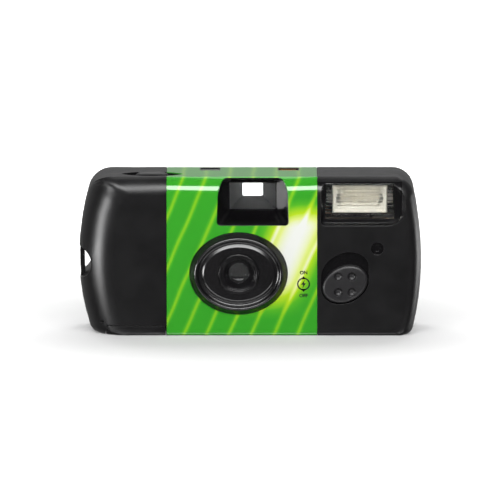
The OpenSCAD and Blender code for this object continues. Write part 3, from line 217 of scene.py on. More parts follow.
@dataclass(frozen=True)
class Moulding:
    """ABS or styrene as it leaves a spark-eroded mould: a fine even grain breaks up the gloss.

    The grain is drawn at about twice its real spacing, because the real one is too fine to show.
    Slow clouds let the colour and the dullness wander a little, as flow in the mould does, and
    edges are softened by edge_mm. Inside the polished blocks the mould was smooth.
    """

    name: str
    colour: str
    roughness: float
    grain_mm: float = 0.22
    grain_depth_mm: float = 0.012
    cloud_mm: float = 9.0
    wander: float = 0.16
    less_dull: float = 0.03
    more_dull: float = 0.05
    specular: float = 0.4
    edge_mm: float = 0.18
    polished: tuple[Block, ...] = ()

    def make(self) -> bpy.types.Material:
        """Builds the material: colour and roughness follow the clouds, and the bump the grain.

        Returns:
            The material.
        """
        material, tree, place = new_material(self.name)
        grain = add_node(tree, "ShaderNodeTexNoise", {
            "Vector": place, "Scale": 1 / (self.grain_mm * MM), "Detail": 3.0, "Roughness": 0.6})
        cloud = add_node(tree, "ShaderNodeTexNoise", {
            "Vector": place, "Scale": 1 / (self.cloud_mm * MM), "Detail": 4.0, "Roughness": 0.65})
        shade = add_node(tree, "ShaderNodeMapRange", {
            "Value": cloud.outputs["Fac"], "From Min": NOISE_LOW, "From Max": NOISE_HIGH,
            "To Min": 1 - self.wander, "To Max": 1 + self.wander})
        tint = add_node(tree, "ShaderNodeVectorMath", {
            0: linear(self.colour)[:3], "Scale": shade.outputs["Result"]}, operation="SCALE")
        dull = add_node(tree, "ShaderNodeMapRange", {
            "Value": cloud.outputs["Fac"], "From Min": NOISE_LOW, "From Max": NOISE_HIGH,
            "To Min": self.roughness - self.less_dull, "To Max": self.roughness + self.more_dull})
        rough = dull.outputs["Result"]
        relief = grain.outputs["Fac"]
        for block in self.polished:
            inside = block.mask(tree, place)
            rough = add_node(tree, "ShaderNodeMix", {
                "Factor": inside, "A": rough, "B": block.roughness}).outputs["Result"]
            relief = add_node(tree, "ShaderNodeMix", {
                "Factor": inside, "A": relief, "B": NOISE_MIDDLE}).outputs["Result"]
        soft_edge = add_node(tree, "ShaderNodeBevel", {"Radius": self.edge_mm * MM}, samples=4)
        bump = add_node(tree, "ShaderNodeBump", {
            "Height": relief, "Distance": self.grain_depth_mm * MM, "Strength": 1.0,
            "Normal": soft_edge.outputs["Normal"]})
        finish_surface(tree, {
            "Base Color": tint.outputs["Vector"], "Roughness": rough,
            "Normal": bump.outputs["Normal"], "IOR": 1.53, "Specular IOR Level": self.specular})
        return material


@dataclass(frozen=True)
class PrintedFilm:
    """Printed polypropylene label under a clear gloss film: slanting soft bands of green and lime.

    A pale sweep crosses the bands to the right of the lens, and black frames surround the openings
    on top. The print is a function of the slanting distance s = x sin(slant) - z cos(slant), in
    millimetres, so it runs on over the folds, and the back shows it too. The tones are places on
    the row of ink stops.
    """

    name: str = "printed_polypropylene"
    band_mm: float = 7.0
    slant_deg: float = 66.0
    drift_mm: float = 26.0
    drift_by_mm: float = 2.5
    sweep_mm: float = 0.5
    sweep_half_mm: float = 7.5
    foot_mm: tuple[float, float] = (5.0, 19.0)
    head_mm: tuple[float, float] = (36.0, 47.0)
    green_tone: float = 0.26
    streak_tone: float = 0.18
    streak_power: float = 4.0
    sweep_tone: float = 0.62
    inks: tuple[tuple[float, str], ...] = (
        (0.0, "#228f18"), (0.26, "#339f22"), (0.36, "#52b220"), (0.46, "#8ac81e"),
        (0.6, "#b6d81e"), (0.74, "#dce883"), (0.88, "#e8eae4"))
    frames: tuple[Block, ...] = ()
    frame_ink: str = "#141514"
    fibre_mm: float = 2.4
    fibre_depth_mm: float = 0.004
    roughness: tuple[float, float] = (0.1, 0.15)

    def make(self) -> bpy.types.Material:
        """Builds the material: green, plus a power of a wave for streaks, plus the sweep.

        Returns:
            The material.
        """
        material, tree, place = new_material(self.name)
        turn = math.radians(self.slant_deg)
        across = (math.sin(turn) / MM, 0.0, -math.cos(turn) / MM)
        slant = add_node(tree, "ShaderNodeVectorMath", {
            0: place, 1: across}, operation="DOT_PRODUCT")
        drift = add_node(tree, "ShaderNodeTexNoise", {
            "Vector": place, "Scale": 1 / (self.drift_mm * MM), "Detail": 1.0})
        bent = add_node(tree, "ShaderNodeMath", {
            0: drift.outputs["Fac"], 1: self.drift_by_mm, 2: slant.outputs["Value"]},
            operation="MULTIPLY_ADD")
        phase = add_node(tree, "ShaderNodeMath", {
            0: bent.outputs[0], 1: 2 * math.pi / self.band_mm}, operation="MULTIPLY")
        wave = add_node(tree, "ShaderNodeMath", {0: phase.outputs[0]}, operation="SINE")
        aside = add_node(tree, "ShaderNodeMath", {
            0: slant.outputs["Value"], 1: self.sweep_mm}, operation="SUBTRACT")
        far = add_node(tree, "ShaderNodeMath", {0: aside.outputs[0]}, operation="ABSOLUTE")
        near = add_node(tree, "ShaderNodeMapRange", {
            "Value": far.outputs[0], "From Min": 0.0, "From Max": 2 * self.sweep_half_mm,
            "To Min": 1.0, "To Max": 0.0}, interpolation_type="SMOOTHERSTEP")
        height = add_node(tree, "ShaderNodeSeparateXYZ", {0: place}).outputs["Z"]
        foot = add_node(tree, "ShaderNodeMapRange", {
            "Value": height, "From Min": self.foot_mm[0] * MM, "From Max": self.foot_mm[1] * MM},
            interpolation_type="SMOOTHSTEP")
        head = add_node(tree, "ShaderNodeMapRange", {
            "Value": height, "From Min": self.head_mm[0] * MM, "From Max": self.head_mm[1] * MM,
            "To Min": 1.0, "To Max": 0.0}, interpolation_type="SMOOTHSTEP")
        level = add_node(tree, "ShaderNodeMath", {
            0: foot.outputs["Result"], 1: head.outputs["Result"]}, operation="MULTIPLY")
        sweep = add_node(tree, "ShaderNodeMath", {
            0: near.outputs["Result"], 1: level.outputs[0]}, operation="MULTIPLY")
        crest = add_node(tree, "ShaderNodeMath", {0: wave.outputs[0], 1: 0.0}, operation="MAXIMUM")
        streak = add_node(tree, "ShaderNodeMath", {
            0: crest.outputs[0], 1: self.streak_power}, operation="POWER")
        banded = add_node(tree, "ShaderNodeMath", {
            0: streak.outputs[0], 1: self.streak_tone, 2: self.green_tone},
            operation="MULTIPLY_ADD")
        tone = add_node(tree, "ShaderNodeMath", {
            0: sweep.outputs[0], 1: self.sweep_tone, 2: banded.outputs[0]},
            operation="MULTIPLY_ADD")
        colour = ramp(tree, tone.outputs[0], self.inks)
        for frame in self.frames:
            colour = add_node(tree, "ShaderNodeMixRGB", {
                "Fac": frame.mask(tree, place), "Color1": colour,
                "Color2": linear(self.frame_ink)}).outputs["Color"]
        fibre = add_node(tree, "ShaderNodeTexNoise", {
            "Vector": place, "Scale": 1 / (self.fibre_mm * MM), "Detail": 2.0})
        dull = add_node(tree, "ShaderNodeMapRange", {
            "Value": fibre.outputs["Fac"], "From Min": NOISE_LOW, "From Max": NOISE_HIGH,
            "To Min": self.roughness[0], "To Max": self.roughness[1]})
        bump = add_node(tree, "ShaderNodeBump", {
            "Height": fibre.outputs["Fac"], "Distance": self.fibre_depth_mm * MM, "Strength": 1.0})
        finish_surface(tree, {
            "Base Color": colour, "Roughness": dull.outputs["Result"],
            "Normal": bump.outputs["Normal"], "IOR": 1.5, "Specular IOR Level": 0.6,
            "Coat Weight": 0.8, "Coat Roughness": 0.06})
        return material


@dataclass(frozen=True)
class ClearMoulding:
    """Clear acrylic, styrene or glass: polished, with a faint unevenness of the mould.

    A cover below 1 lets part of what lies behind show straight through, as a thin ribbed pane does.
    """

    name: str
    colour: str = "#fdfefe"
    roughness: float = 0.03
    ior: float = 1.49
    wave_mm: float = 3.0
    wave_depth_mm: float = 0.002
    uneven: float = 0.4
    cover: float = 1.0

    def make(self) -> bpy.types.Material:
        """Builds the material: full transmission, with a slow ripple in the surface.

        Returns:
            The material.
        """
        material, tree, place = new_material(self.name)
        ripple = add_node(tree, "ShaderNodeTexNoise", {
            "Vector": place, "Scale": 1 / (self.wave_mm * MM), "Detail": 1.0})
        dull = add_node(tree, "ShaderNodeMapRange", {
            "Value": ripple.outputs["Fac"], "To Min": self.roughness * (1 - self.uneven),
            "To Max": self.roughness * (1 + self.uneven)})
        bump = add_node(tree, "ShaderNodeBump", {
            "Height": ripple.outputs["Fac"], "Distance": self.wave_depth_mm * MM, "Strength": 1.0})
        finish_surface(tree, {
            "Base Color": linear(self.colour), "Roughness": dull.outputs["Result"],
            "Normal": bump.outputs["Normal"], "IOR": self.ior, "Transmission Weight": 1.0,
            "Alpha": self.cover})
        return material


@dataclass(frozen=True)
class SheetMetal:
    """Rolled or vacuum-plated metal: fine streaks along X break its shine into lines."""

    name: str
    colour: str
    roughness: float
    streak_mm: float = 0.12
    stretch: float = 20.0
    streak_span: tuple[float, float] = (0.25, 0.75)
    dull_share: tuple[float, float] = (0.75, 1.3)
    shade_share: tuple[float, float] = (0.9, 1.05)
    metal: float = 1.0

    def make(self) -> bpy.types.Material:
        """Builds the material: streaks are noise stretched along X.

        Returns:
            The material.
        """
        material, tree, place = new_material(self.name)
        stretch = add_node(tree, "ShaderNodeMapping", {
            "Vector": place, "Scale": (1 / self.stretch, 1.0, 1.0)})
        streak = add_node(tree, "ShaderNodeTexNoise", {
            "Vector": stretch.outputs["Vector"], "Scale": 1 / (self.streak_mm * MM),
            "Detail": 2.0})
        dull = add_node(tree, "ShaderNodeMapRange", {
            "Value": streak.outputs["Fac"],
            "From Min": self.streak_span[0], "From Max": self.streak_span[1],
            "To Min": self.roughness * self.dull_share[0],
            "To Max": self.roughness * self.dull_share[1]})
        shade = add_node(tree, "ShaderNodeMapRange", {
            "Value": streak.outputs["Fac"],
            "To Min": self.shade_share[0], "To Max": self.shade_share[1]})
        tint = add_node(tree, "ShaderNodeVectorMath", {
            0: linear(self.colour)[:3], "Scale": shade.outputs["Result"]}, operation="SCALE")
        finish_surface(tree, {
            "Base Color": tint.outputs["Vector"], "Roughness": dull.outputs["Result"],
            "Metallic": self.metal})
        return material


class Finish(Enum):
    """Every finish on the camera, named for what it is made of and how."""

    # The walls of the finder, flash and switch wells are smoother than the outside.
    BLACK_ABS = Moulding(
        "black_abs_grained", "#0b0a0c", 0.35, wander=0.06, specular=0.5, polished=(
            Block((-11.9, -14.3, 36.4), (50.5, -5.0, 51.5), 0.17),
            Block((22.9, -14.3, 9.0), (44.6, -12.0, 31.6), 0.12)))
    GLOSS_BLACK = Moulding("black_abs_satin", "#0e0d0f", 0.22, grain_depth_mm=0.003, specular=0.8)
    MATT_BLACK = Moulding("black_abs_matt", "#1b1a1c", 0.42, grain_depth_mm=0.008, specular=0.5)
    INNER_BLACK = Moulding(
        "black_styrene_inside", "#0d0d0e", 0.6, grain_depth_mm=0.006, specular=0.1)
    WHITE_ACETAL = Moulding("white_acetal", "#e4e2da", 0.4, grain_depth_mm=0.004, wander=0.04)
    AMBER = Moulding("amber_styrene", "#d98a2b", 0.25, grain_depth_mm=0.002, wander=0.05)
    BOARD = Moulding("phenolic_board", "#5a4630", 0.3, grain_mm=0.5, grain_depth_mm=0.008)
    SLEEVE = Moulding("shrunk_sleeve", "#1c1c22", 0.3, grain_depth_mm=0.003)
    FERRITE = Moulding("ground_ferrite", "#403930", 0.7, grain_mm=0.4, grain_depth_mm=0.02)
    FILM = Moulding("acetate_film", "#7a4a2a", 0.18, grain_depth_mm=0.001, wander=0.06)
    INK = Moulding("black_ink", "#141712", 0.4, grain_mm=0.3, grain_depth_mm=0.001, edge_mm=0.01)
    LABEL = PrintedFilm(frames=(
        Block((-16.8, 4.9, 50.0), (-9.8, 12.4, 60.0)),
        Block((9.2, 4.6, 50.0), (16.5, 11.4, 60.0))))
    CLEAR = ClearMoulding("clear_acrylic")
    FLASH_PANE = ClearMoulding("ribbed_acrylic", "#fefefb", 0.06, wave_depth_mm=0.004, cover=0.72)
    FROSTED = ClearMoulding("frosted_glass_tube", "#f6f3ea", 0.3)
    # The reflector is a mostly matt pale cream sheet, not a mirror: its pale colour is painted
    # reflection, standing in for the bright sheen of the plated trough.
    REFLECTOR = SheetMetal("reflector_painted_reflection", "#e2dfd6", 0.3, metal=0.1)
    STEEL = SheetMetal("rolled_spring_steel", "#9a9ca0", 0.3)
    BRASS = SheetMetal("stamped_brass", "#c9a227", 0.32)
    COPPER = SheetMetal("enamelled_copper", "#b5651d", 0.35)
    TIN = SheetMetal("lacquered_tinplate", "#d8c23a", 0.35)
    JACKET = SheetMetal("cell_jacket", "#8a8d91", 0.4)


class Workshop:
    """Holds the frame and makes each finish once."""

    def __init__(self) -> None:
        """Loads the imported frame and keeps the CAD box."""
        self.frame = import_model()
        self.cad_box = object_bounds()
        self.made: dict[Finish, bpy.types.Material] = {}
        self.smoothing = self.smoothing_group()

    def material(self, finish: Finish) -> bpy.types.Material:
        """Gives the material of a finish, made at its first use.

        Args:
            finish: the finish.

        Returns:
            Its material.
        """
        if finish not in self.made:
            self.made[finish] = finish.value.make()
        return self.made[finish]

    @staticmethod
    def smoothing_group(limit_deg: float = 28.0, weld_mm: float = 0.002) -> bpy.types.NodeTree:
        """Makes the modifier that joins a node's loose triangles and shades small angles smooth.

        Args:
            limit_deg: edges that turn further than this stay sharp.
            weld_mm: corners closer than this are joined.

        Returns:
            The node group.
        """
        group = bpy.data.node_groups.new("moulded_shading", "GeometryNodeTree")
        group.interface.new_socket("Geometry", in_out="INPUT", socket_type="NodeSocketGeometry")
        group.interface.new_socket("Geometry", in_out="OUTPUT", socket_type="NodeSocketGeometry")
        start = add_node(group, "NodeGroupInput")
        joined = add_node(group, "GeometryNodeMergeByDistance", {
            "Geometry": start.outputs[0], "Distance": weld_mm * MM})
        angle = add_node(group, "GeometryNodeInputMeshEdgeAngle")
        sharp = add_node(group, "FunctionNodeCompare", {
            0: angle.outputs["Unsigned Angle"], 1: math.radians(limit_deg)},
            operation="GREATER_THAN")
        shaded = add_node(group, "GeometryNodeSetMeshNormal", {
            "Mesh": joined.outputs[0], "Remove Custom": True, "Edge Sharpness": sharp.outputs[0],
            "Face Sharpness": False}, mode="SHARPNESS")
        add_node(group, "NodeGroupOutput", {0: shaded.outputs[0]})
        return group

    def dress(self, nodes: dict[str, Finish]) -> None:
        """Gives CAD nodes their finish and smooth shading.

        Args:
            nodes: CAD node name to its finish.
        """
        for name, finish in nodes.items():
            obj = self.frame["nodes"][name]
            obj.data.materials.clear()
            obj.data.materials.append(self.material(finish))
            shading = obj.modifiers.new("shading", "NODES")
            shading.node_group = self.smoothing
            weighted = obj.modifiers.new("flat_faces", "WEIGHTED_NORMAL")
            weighted.keep_sharp = True
            LOG.info("dressed %s as %s", name, finish.value.name)

    def piece(self, name: str, points: np.ndarray, faces: list, finish: Finish, body: str) -> None:
        """Puts points and faces into a new piece, at the origin, that rides on a body.

        Args:
            name: the piece's name.
            points: an array of places, one row each.
            faces: lists of point numbers.
            finish: the piece's finish.
            body: the CAD body that carries it.
        """
        mesh = bpy.data.meshes.new(name)
        mesh.from_pydata(points.tolist(), [], faces)
        mesh.materials.append(self.material(finish))
        obj = bpy.data.objects.new(name, mesh)
        bpy.context.scene.collection.objects.link(obj)
        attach(obj, body)
        LOG.info("made %s on %s", name, body)


def lettering(text: str, height: float, weight: float = 0.035) -> tuple[np.ndarray, list]:
    """Fills a word in Blender's own font, centred on its middle.

    Args:
        text: the word.
        height: height of its capitals, in metres.
        weight: how much the strokes are thickened, as a share of the font's size.

    Returns:
        Flat points (across, up) and faces.
    """
    curve = bpy.data.curves.new("lettering", "FONT")
    curve.body = text
    curve.align_x = "CENTER"
    curve.align_y = "CENTER"
    curve.resolution_u = 4
    curve.offset = weight
    holder = bpy.data.objects.new("lettering", curve)
    bpy.context.scene.collection.objects.link(holder)
    mesh = bpy.data.meshes.new_from_object(
        holder.evaluated_get(bpy.context.evaluated_depsgraph_get()))
    flat = np.zeros(len(mesh.vertices) * 3)
    mesh.vertices.foreach_get("co", flat)
    faces = [list(p.vertices) for p in mesh.polygons]
    points = flat.reshape(-1, 3)[:, :2]
    bpy.data.objects.remove(holder)
    bpy.data.curves.remove(curve)
    bpy.data.meshes.remove(mesh)
    low, high = points.min(0), points.max(0)
    return (points - (low + high) / 2) * (height / (high[1] - low[1])), faces


@dataclass
class Shell:
    """Covers, film door and the wrapped label with its switch marks."""

    nodes: dict[str, Finish] = field(default_factory=lambda: {
        "front_cover": Finish.BLACK_ABS, "rear_cover": Finish.BLACK_ABS,
        "film_door": Finish.BLACK_ABS, "wrap_label": Finish.LABEL})
    marks_x: float = 17.8 * MM
    on_z: float = 21.3 * MM
    off_z: float = 13.6 * MM
    letter_h: float = 1.25 * MM
    arrow_gap: float = 1.75 * MM
    ring_out: float = 2.15 * MM
    ring_in: float = 1.7 * MM
    ring_steps: int = 48
    ink: float = 0.03 * MM

    def ring(self) -> tuple[np.ndarray, list]:
        """Makes a flat ring: two circles of points (r cos t, r sin t), with a face at each step.

        Returns:
            Flat points (across, up) and faces.
        """
        turn = np.linspace(0, 2 * np.pi, self.ring_steps, endpoint=False)
        circle = np.stack([np.cos(turn), np.sin(turn)], 1)
        points = np.concatenate([circle * self.ring_out, circle * self.ring_in])
        here = np.arange(self.ring_steps)
        ahead = np.roll(here, -1)
        faces = np.stack([here, ahead, ahead + self.ring_steps, here + self.ring_steps], 1)
        return points, faces[:, ::-1].tolist()

    def build(self, shop: Workshop) -> None:
        """Prints ON, OFF, two arrows and a bolt in a ring beside the flash switch.

        A mark's flat points (across, up) go to x = marks_x + across and z = height + up, on a plane
        of constant y just in front of the label.

        Args:
            shop: the workshop that makes the pieces.
        """
        face_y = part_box("wrap_label")[0].y - self.ink
        middle = (self.on_z + self.off_z) / 2
        arrow = np.array([[-0.8, -0.5], [0.8, -0.5], [0.0, 0.6]]) * MM
        bolt = np.array([[0.45, 1.5], [-0.85, -0.2], [-0.1, -0.2], [-0.45, -1.5], [0.85, 0.3],
                         [0.1, 0.3]]) * MM
        marks = {
            "mark_on": (*lettering("ON", self.letter_h), self.on_z),
            "mark_off": (*lettering("OFF", self.letter_h), self.off_z),
            "mark_up": (arrow, [[0, 1, 2]], self.on_z - self.arrow_gap),
            "mark_down": (arrow * [1, -1], [[0, 2, 1]], self.off_z + self.arrow_gap),
            "mark_ring": (*self.ring(), middle),
            "mark_bolt": (bolt, [[0, 1, 2, 5], [2, 3, 4, 5]], middle)}
        for name, (flat, faces, height) in marks.items():
            points = np.stack([flat[:, 0] + self.marks_x, np.full(len(flat), face_y),
                               flat[:, 1] + height], 1)
            shop.piece(name, points, faces, Finish.INK, "body")

    def dress(self, shop: Workshop) -> None:
        """Gives the covers their grain and the label its print."""
        shop.dress(self.nodes)


@dataclass
class LensGroup:
    """Oval dish, lens ring, lens and what stands behind them."""

    nodes: dict[str, Finish] = field(default_factory=lambda: {
        "lens_panel": Finish.GLOSS_BLACK, "lens_ring": Finish.GLOSS_BLACK,
        "taking_lens": Finish.CLEAR, "aperture_plate": Finish.INNER_BLACK,
        "shutter_base": Finish.INNER_BLACK, "shutter_blade": Finish.INNER_BLACK,
        "drive_lever": Finish.WHITE_ACETAL, "drive_spring": Finish.STEEL,
        "release_lever": Finish.WHITE_ACETAL})

    def dress(self, shop: Workshop) -> None:
        """Polishes the dish and clears the lens."""
        shop.dress(self.nodes)


@dataclass
class Finder:
    """Viewfinder that the daylight shows through."""

    nodes: dict[str, Finish] = field(default_factory=lambda: {
        "finder_front_lens": Finish.CLEAR, "finder_housing": Finish.INNER_BLACK,
        "finder_rear_lens": Finish.CLEAR})

    def dress(self, shop: Workshop) -> None:
        """Clears the lenses and blackens the tunnel."""
        shop.dress(self.nodes)


@dataclass
class FlashUnit:
    """Ribbed window, reflector, tube and the electrics that fire it."""

    nodes: dict[str, Finish] = field(default_factory=lambda: {
        "flash_window": Finish.FLASH_PANE, "flash_reflector": Finish.REFLECTOR,
        "flash_tube": Finish.FROSTED, "circuit_board": Finish.BOARD,
        "flash_capacitor": Finish.SLEEVE, "transformer": Finish.FERRITE,
        "trigger_coil": Finish.COPPER, "pilot_lamp": Finish.AMBER,
        "sync_contact": Finish.BRASS, "switch_contact": Finish.BRASS, "battery": Finish.JACKET,
        "contact_positive": Finish.BRASS, "contact_negative": Finish.BRASS})

    def dress(self, shop: Workshop) -> None:
        """Gives the flash its trough, pale with painted reflection, and the electrics their
        finishes.
        """
        shop.dress(self.nodes)


@dataclass
class Controls:
    """Button, flash switch, winding wheel, and the frame counter with its numbered dial."""

    nodes: dict[str, Finish] = field(default_factory=lambda: {
        "shutter_button": Finish.BLACK_ABS, "switch_knob": Finish.MATT_BLACK,
        "switch_slider": Finish.INNER_BLACK, "pilot_guide": Finish.AMBER,
        "winding_wheel": Finish.BLACK_ABS, "counter_dial": Finish.WHITE_ACETAL,
        "counter_window": Finish.CLEAR})
    numbers: tuple[int, ...] = (0, 3, 6, 9, 12, 15, 18, 21, 24, 27)
    places: int = 12
    figure_h: float = 1.5 * MM
    figure_r: float = 4.7 * MM
    ink: float = 0.02 * MM

    def build(self, shop: Workshop) -> None:
        """Prints the frame numbers round the dial, each turned by t about the dial's axis.

        A number's flat points (across, up) go to x = across cos t - up sin t and
        y = across sin t + up cos t, where up is counted from the axis.

        Args:
            shop: the workshop that makes the pieces.
        """
        low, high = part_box("counter_dial")
        centre = (low + high) / 2
        for count, number in enumerate(self.numbers):
            flat, faces = lettering(str(number), self.figure_h)
            turn = -2 * math.pi * (count - len(self.numbers) + 1) / self.places
            up = flat[:, 1] + self.figure_r
            points = np.stack([
                centre.x + flat[:, 0] * math.cos(turn) - up * math.sin(turn),
                centre.y + flat[:, 0] * math.sin(turn) + up * math.cos(turn),
                np.full(len(flat), high.z + self.ink)], 1)
            shop.piece(f"dial_number_{number:02d}", points, faces, Finish.INK, "counter")

    def dress(self, shop: Workshop) -> None:
        """Gives the handled pieces their mouldings."""
        shop.dress(self.nodes)


@dataclass
class FilmPath:
    """Frame, cassette, spools and film inside the body."""

    nodes: dict[str, Finish] = field(default_factory=lambda: {
        "main_frame": Finish.INNER_BLACK, "cassette_shell": Finish.TIN,
        "cassette_spool": Finish.INNER_BLACK, "film_strip": Finish.FILM,
        "supply_spool": Finish.INNER_BLACK, "film_roll": Finish.FILM,
        "film_sprocket": Finish.WHITE_ACETAL})

    def dress(self, shop: Workshop) -> None:
        """Gives the works their finishes."""
        shop.dress(self.nodes)


@dataclass(frozen=True)
class Softbox:
    """One rectangular lamp behind a diffuser; sizes in metres, power in watts.

    A lamp that doesn't fill shows only in polished surfaces, and one that isn't mirrored lights
    only matt ones.
    """

    name: str
    place: Point
    aim: Point
    size: tuple[float, float]
    power: float
    fills: bool = True
    mirrored: bool = True

    def hang(self) -> None:
        """Hangs the lamp at its place, facing its aim."""
        data = bpy.data.lights.new(self.name, "AREA")
        data.shape = "RECTANGLE"
        data.size, data.size_y = self.size
        data.energy = self.power
        obj = bpy.data.objects.new(self.name, data)
        obj.location = self.place
        facing = Vector(self.aim) - Vector(self.place)
        obj.rotation_euler = facing.to_track_quat("-Z", "Y").to_euler()
        obj.visible_diffuse = self.fills
        obj.visible_glossy = self.mirrored
        bpy.context.scene.collection.objects.link(obj)


LEFT_AIM, RIGHT_AIM, MIDDLE = (-0.05, 0.0, 0.0), (0.05, 0.0, -0.06), (0.0, 0.0, 0.0)

# Softboxes in front, at the sides and behind, and a low strip for the base's edge. A side lamp is
# two sheets of light, the narrower 5 mm in front of the other, for a soft edge; it reaches neither
# high nor far round, so that the label and the back don't mirror it from other sides.
SOFTBOXES = (
    Softbox("front_top", (0.0, -0.75, 0.55), (0.0, 0.0, 0.03), (1.5, 0.4), 11.3, mirrored=False),
    Softbox("front_gloss", (0.0, -0.69, 0.65), (0.0, 0.0, 0.045), (1.0, 0.4), 10.7, fills=False),
    Softbox("left_side", (-0.67, -0.436, 0.0), LEFT_AIM, (0.28, 0.26), 2.464, fills=False),
    Softbox("left_core", (-0.665, -0.436, 0.0), LEFT_AIM, (0.2, 0.26), 1.76, fills=False),
    Softbox("right_side", (0.78, 0.15, -0.06), RIGHT_AIM, (0.4, 0.22), 1.04, fills=False),
    Softbox("right_core", (0.775, 0.15, -0.06), RIGHT_AIM, (0.15, 0.22), 0.39, fills=False),
    Softbox("right_rear", (0.6, 0.5, -0.05), (0.05, 0.0, -0.05), (0.5, 0.16), 0.45, fills=False),
    Softbox("table_sheen", (0.0, -0.5, -0.4), MIDDLE, (1.2, 0.18), 2.2, fills=False),
    Softbox("rear_sheen", (0.0, 0.55, 0.75), MIDDLE, (1.0, 0.6), 2.4, fills=False),
    Softbox("above_behind", (0.0, 0.55, 0.75), MIDDLE, (1.0, 0.6), 11.5, mirrored=False))


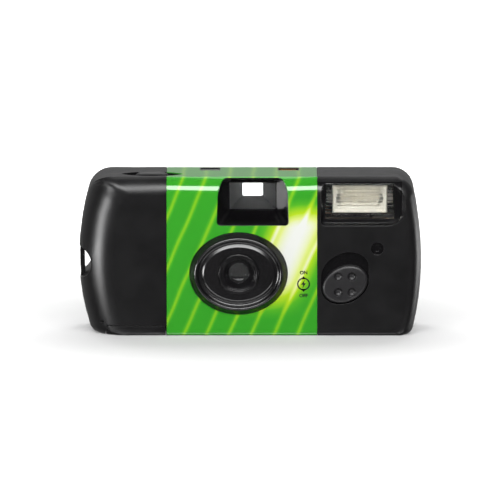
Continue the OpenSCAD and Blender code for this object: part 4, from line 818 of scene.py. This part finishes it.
@dataclass
class Studio:
    """Pale floor, soft lamps and a long lens at the photograph's angle.

    Every ray finds at least the strength air. For polished surfaces it gives way, where that is
    brighter, to a rise from gloss_ahead to gloss_behind while the Y of a ray's heading goes from
    turn_ahead to turn_behind. The floor's glow rises from glow_near to 1 between glow_from and
    glow_full metres from the middle.
    """

    elevation_deg: float = 8.3
    distance: float = 3.0
    pixels_per_m: float = 3010.0
    frame_pixels: float = 500.0
    aim: Point = (0.0, -14.6 * MM, 28.9 * MM)
    sensor_mm: float = 36.0
    far_clip: float = 50.0
    air: float = 0.1
    gloss_ahead: float = 0.02
    gloss_behind: float = 0.3
    turn_ahead: float = -0.3
    turn_behind: float = 0.5
    floor_half: float = 3.0
    floor_colour: str = "#d5d5d5"
    glow_near: float = 0.17
    glow_from: float = 0.03
    glow_full: float = 0.25

    def camera(self) -> None:
        """Sets a camera whose axis meets the front face, with the photograph's scale there."""
        data = bpy.data.cameras.new("photo_camera")
        data.sensor_width = self.sensor_mm
        data.lens = self.pixels_per_m * self.distance * self.sensor_mm / self.frame_pixels
        data.clip_end = self.far_clip
        obj = bpy.data.objects.new("photo_camera", data)
        tilt = math.radians(self.elevation_deg)
        back = Vector((0.0, -math.cos(tilt), math.sin(tilt)))
        obj.location = Vector(self.aim) + back * self.distance
        obj.rotation_euler = (-back).to_track_quat("-Z", "Y").to_euler()
        bpy.context.scene.collection.objects.link(obj)
        bpy.context.scene.camera = obj

    @staticmethod
    def backdrop_rays(tree: bpy.types.NodeTree, ray: bpy.types.Node,
                      back: bpy.types.NodeSocket) -> bpy.types.NodeSocket:
        """Marks the rays that find white: the camera's, and those through glass to the back.

        Args:
            tree: the node tree.
            ray: the tree's light path node.
            back: a value that is above 0 behind the object.

        Returns:
            A socket that is 1 for those rays and 0 for others.
        """
        rear = add_node(tree, "ShaderNodeMath", {0: back, 1: 0.0}, operation="GREATER_THAN")
        through = add_node(tree, "ShaderNodeMath", {
            0: ray.outputs["Is Transmission Ray"], 1: rear.outputs[0]}, operation="MULTIPLY")
        return add_node(tree, "ShaderNodeMath", {
            0: ray.outputs["Is Camera Ray"], 1: through.outputs[0]}, operation="MAXIMUM").outputs[0]

    def world(self) -> None:
        """Lights the air evenly, and shows white to the camera, to glass and behind the object."""
        world = bpy.data.worlds.new("studio_air")
        bpy.context.scene.world = world
        world.use_nodes = True
        tree = world.node_tree
        tree.nodes.clear()
        ray = add_node(tree, "ShaderNodeLightPath")
        heading = add_node(tree, "ShaderNodeSeparateXYZ", {
            0: add_node(tree, "ShaderNodeTexCoord").outputs["Generated"]}).outputs["Y"]
        behind = add_node(tree, "ShaderNodeMapRange", {
            "Value": heading, "From Min": self.turn_ahead, "From Max": self.turn_behind,
            "To Min": self.gloss_ahead, "To Max": self.gloss_behind})
        glossy = add_node(tree, "ShaderNodeMath", {
            0: ray.outputs["Is Glossy Ray"], 1: behind.outputs["Result"]}, operation="MULTIPLY")
        white = add_node(tree, "ShaderNodeMath", {
            0: self.backdrop_rays(tree, ray, heading), 1: glossy.outputs[0]}, operation="MAXIMUM")
        strength = add_node(tree, "ShaderNodeMath", {
            0: white.outputs[0], 1: self.air}, operation="MAXIMUM")
        light = add_node(tree, "ShaderNodeBackground", {
            "Color": (1.0, 1.0, 1.0, 1.0), "Strength": strength.outputs[0]})
        add_node(tree, "ShaderNodeOutputWorld", {"Surface": light.outputs[0]})

    def floor(self) -> None:
        """Lays a pale floor that glows to the camera, less near the part, to keep the shadow."""
        corners = np.array([[-1, -1, 0], [1, -1, 0], [1, 1, 0], [-1, 1, 0]]) * self.floor_half
        mesh = bpy.data.meshes.new("floor")
        mesh.from_pydata(corners.tolist(), [], [[0, 1, 2, 3]])
        material, tree, place = new_material("painted_floor")
        ray = add_node(tree, "ShaderNodeLightPath")
        away = add_node(tree, "ShaderNodeVectorMath", {0: place}, operation="LENGTH")
        matt = add_node(tree, "ShaderNodeBsdfDiffuse", {"Color": linear(self.floor_colour)})
        back = add_node(tree, "ShaderNodeSeparateXYZ", {0: place}).outputs["Y"]
        white = add_node(tree, "ShaderNodeMapRange", {
            "Value": away.outputs["Value"], "From Min": self.glow_from, "From Max": self.glow_full,
            "To Min": self.glow_near, "To Max": 1.0}, interpolation_type="SMOOTHSTEP")
        lift = add_node(tree, "ShaderNodeMath", {
            0: self.backdrop_rays(tree, ray, back), 1: white.outputs["Result"]},
            operation="MULTIPLY")
        glow = add_node(tree, "ShaderNodeEmission", {"Strength": lift.outputs[0]})
        both = add_node(tree, "ShaderNodeAddShader", {0: matt.outputs[0], 1: glow.outputs[0]})
        add_node(tree, "ShaderNodeOutputMaterial", {"Surface": both.outputs[0]})
        mesh.materials.append(material)
        obj = bpy.data.objects.new("floor", mesh)
        obj.visible_glossy = False
        bpy.context.scene.collection.objects.link(obj)
        obj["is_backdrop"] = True

    def build(self) -> None:
        """Sets the camera, the lamps, the air and the floor."""
        bpy.context.scene.view_settings.view_transform = "Standard"
        self.camera()
        for softbox in SOFTBOXES:
            softbox.hang()
        self.world()
        self.floor()
        LOG.info("set up the studio with %d softboxes", len(SOFTBOXES))


def main() -> None:
    """Builds and dresses each sub-assembly in turn, then the studio round it."""
    logging.basicConfig(level=logging.INFO)
    shop = Workshop()
    shell, controls = Shell(), Controls()
    shell.build(shop)
    controls.build(shop)
    for group in (shell, LensGroup(), Finder(), FlashUnit(), controls, FilmPath()):
        group.dress(shop)
    Studio().build()


if __name__ == "__main__":
    main()
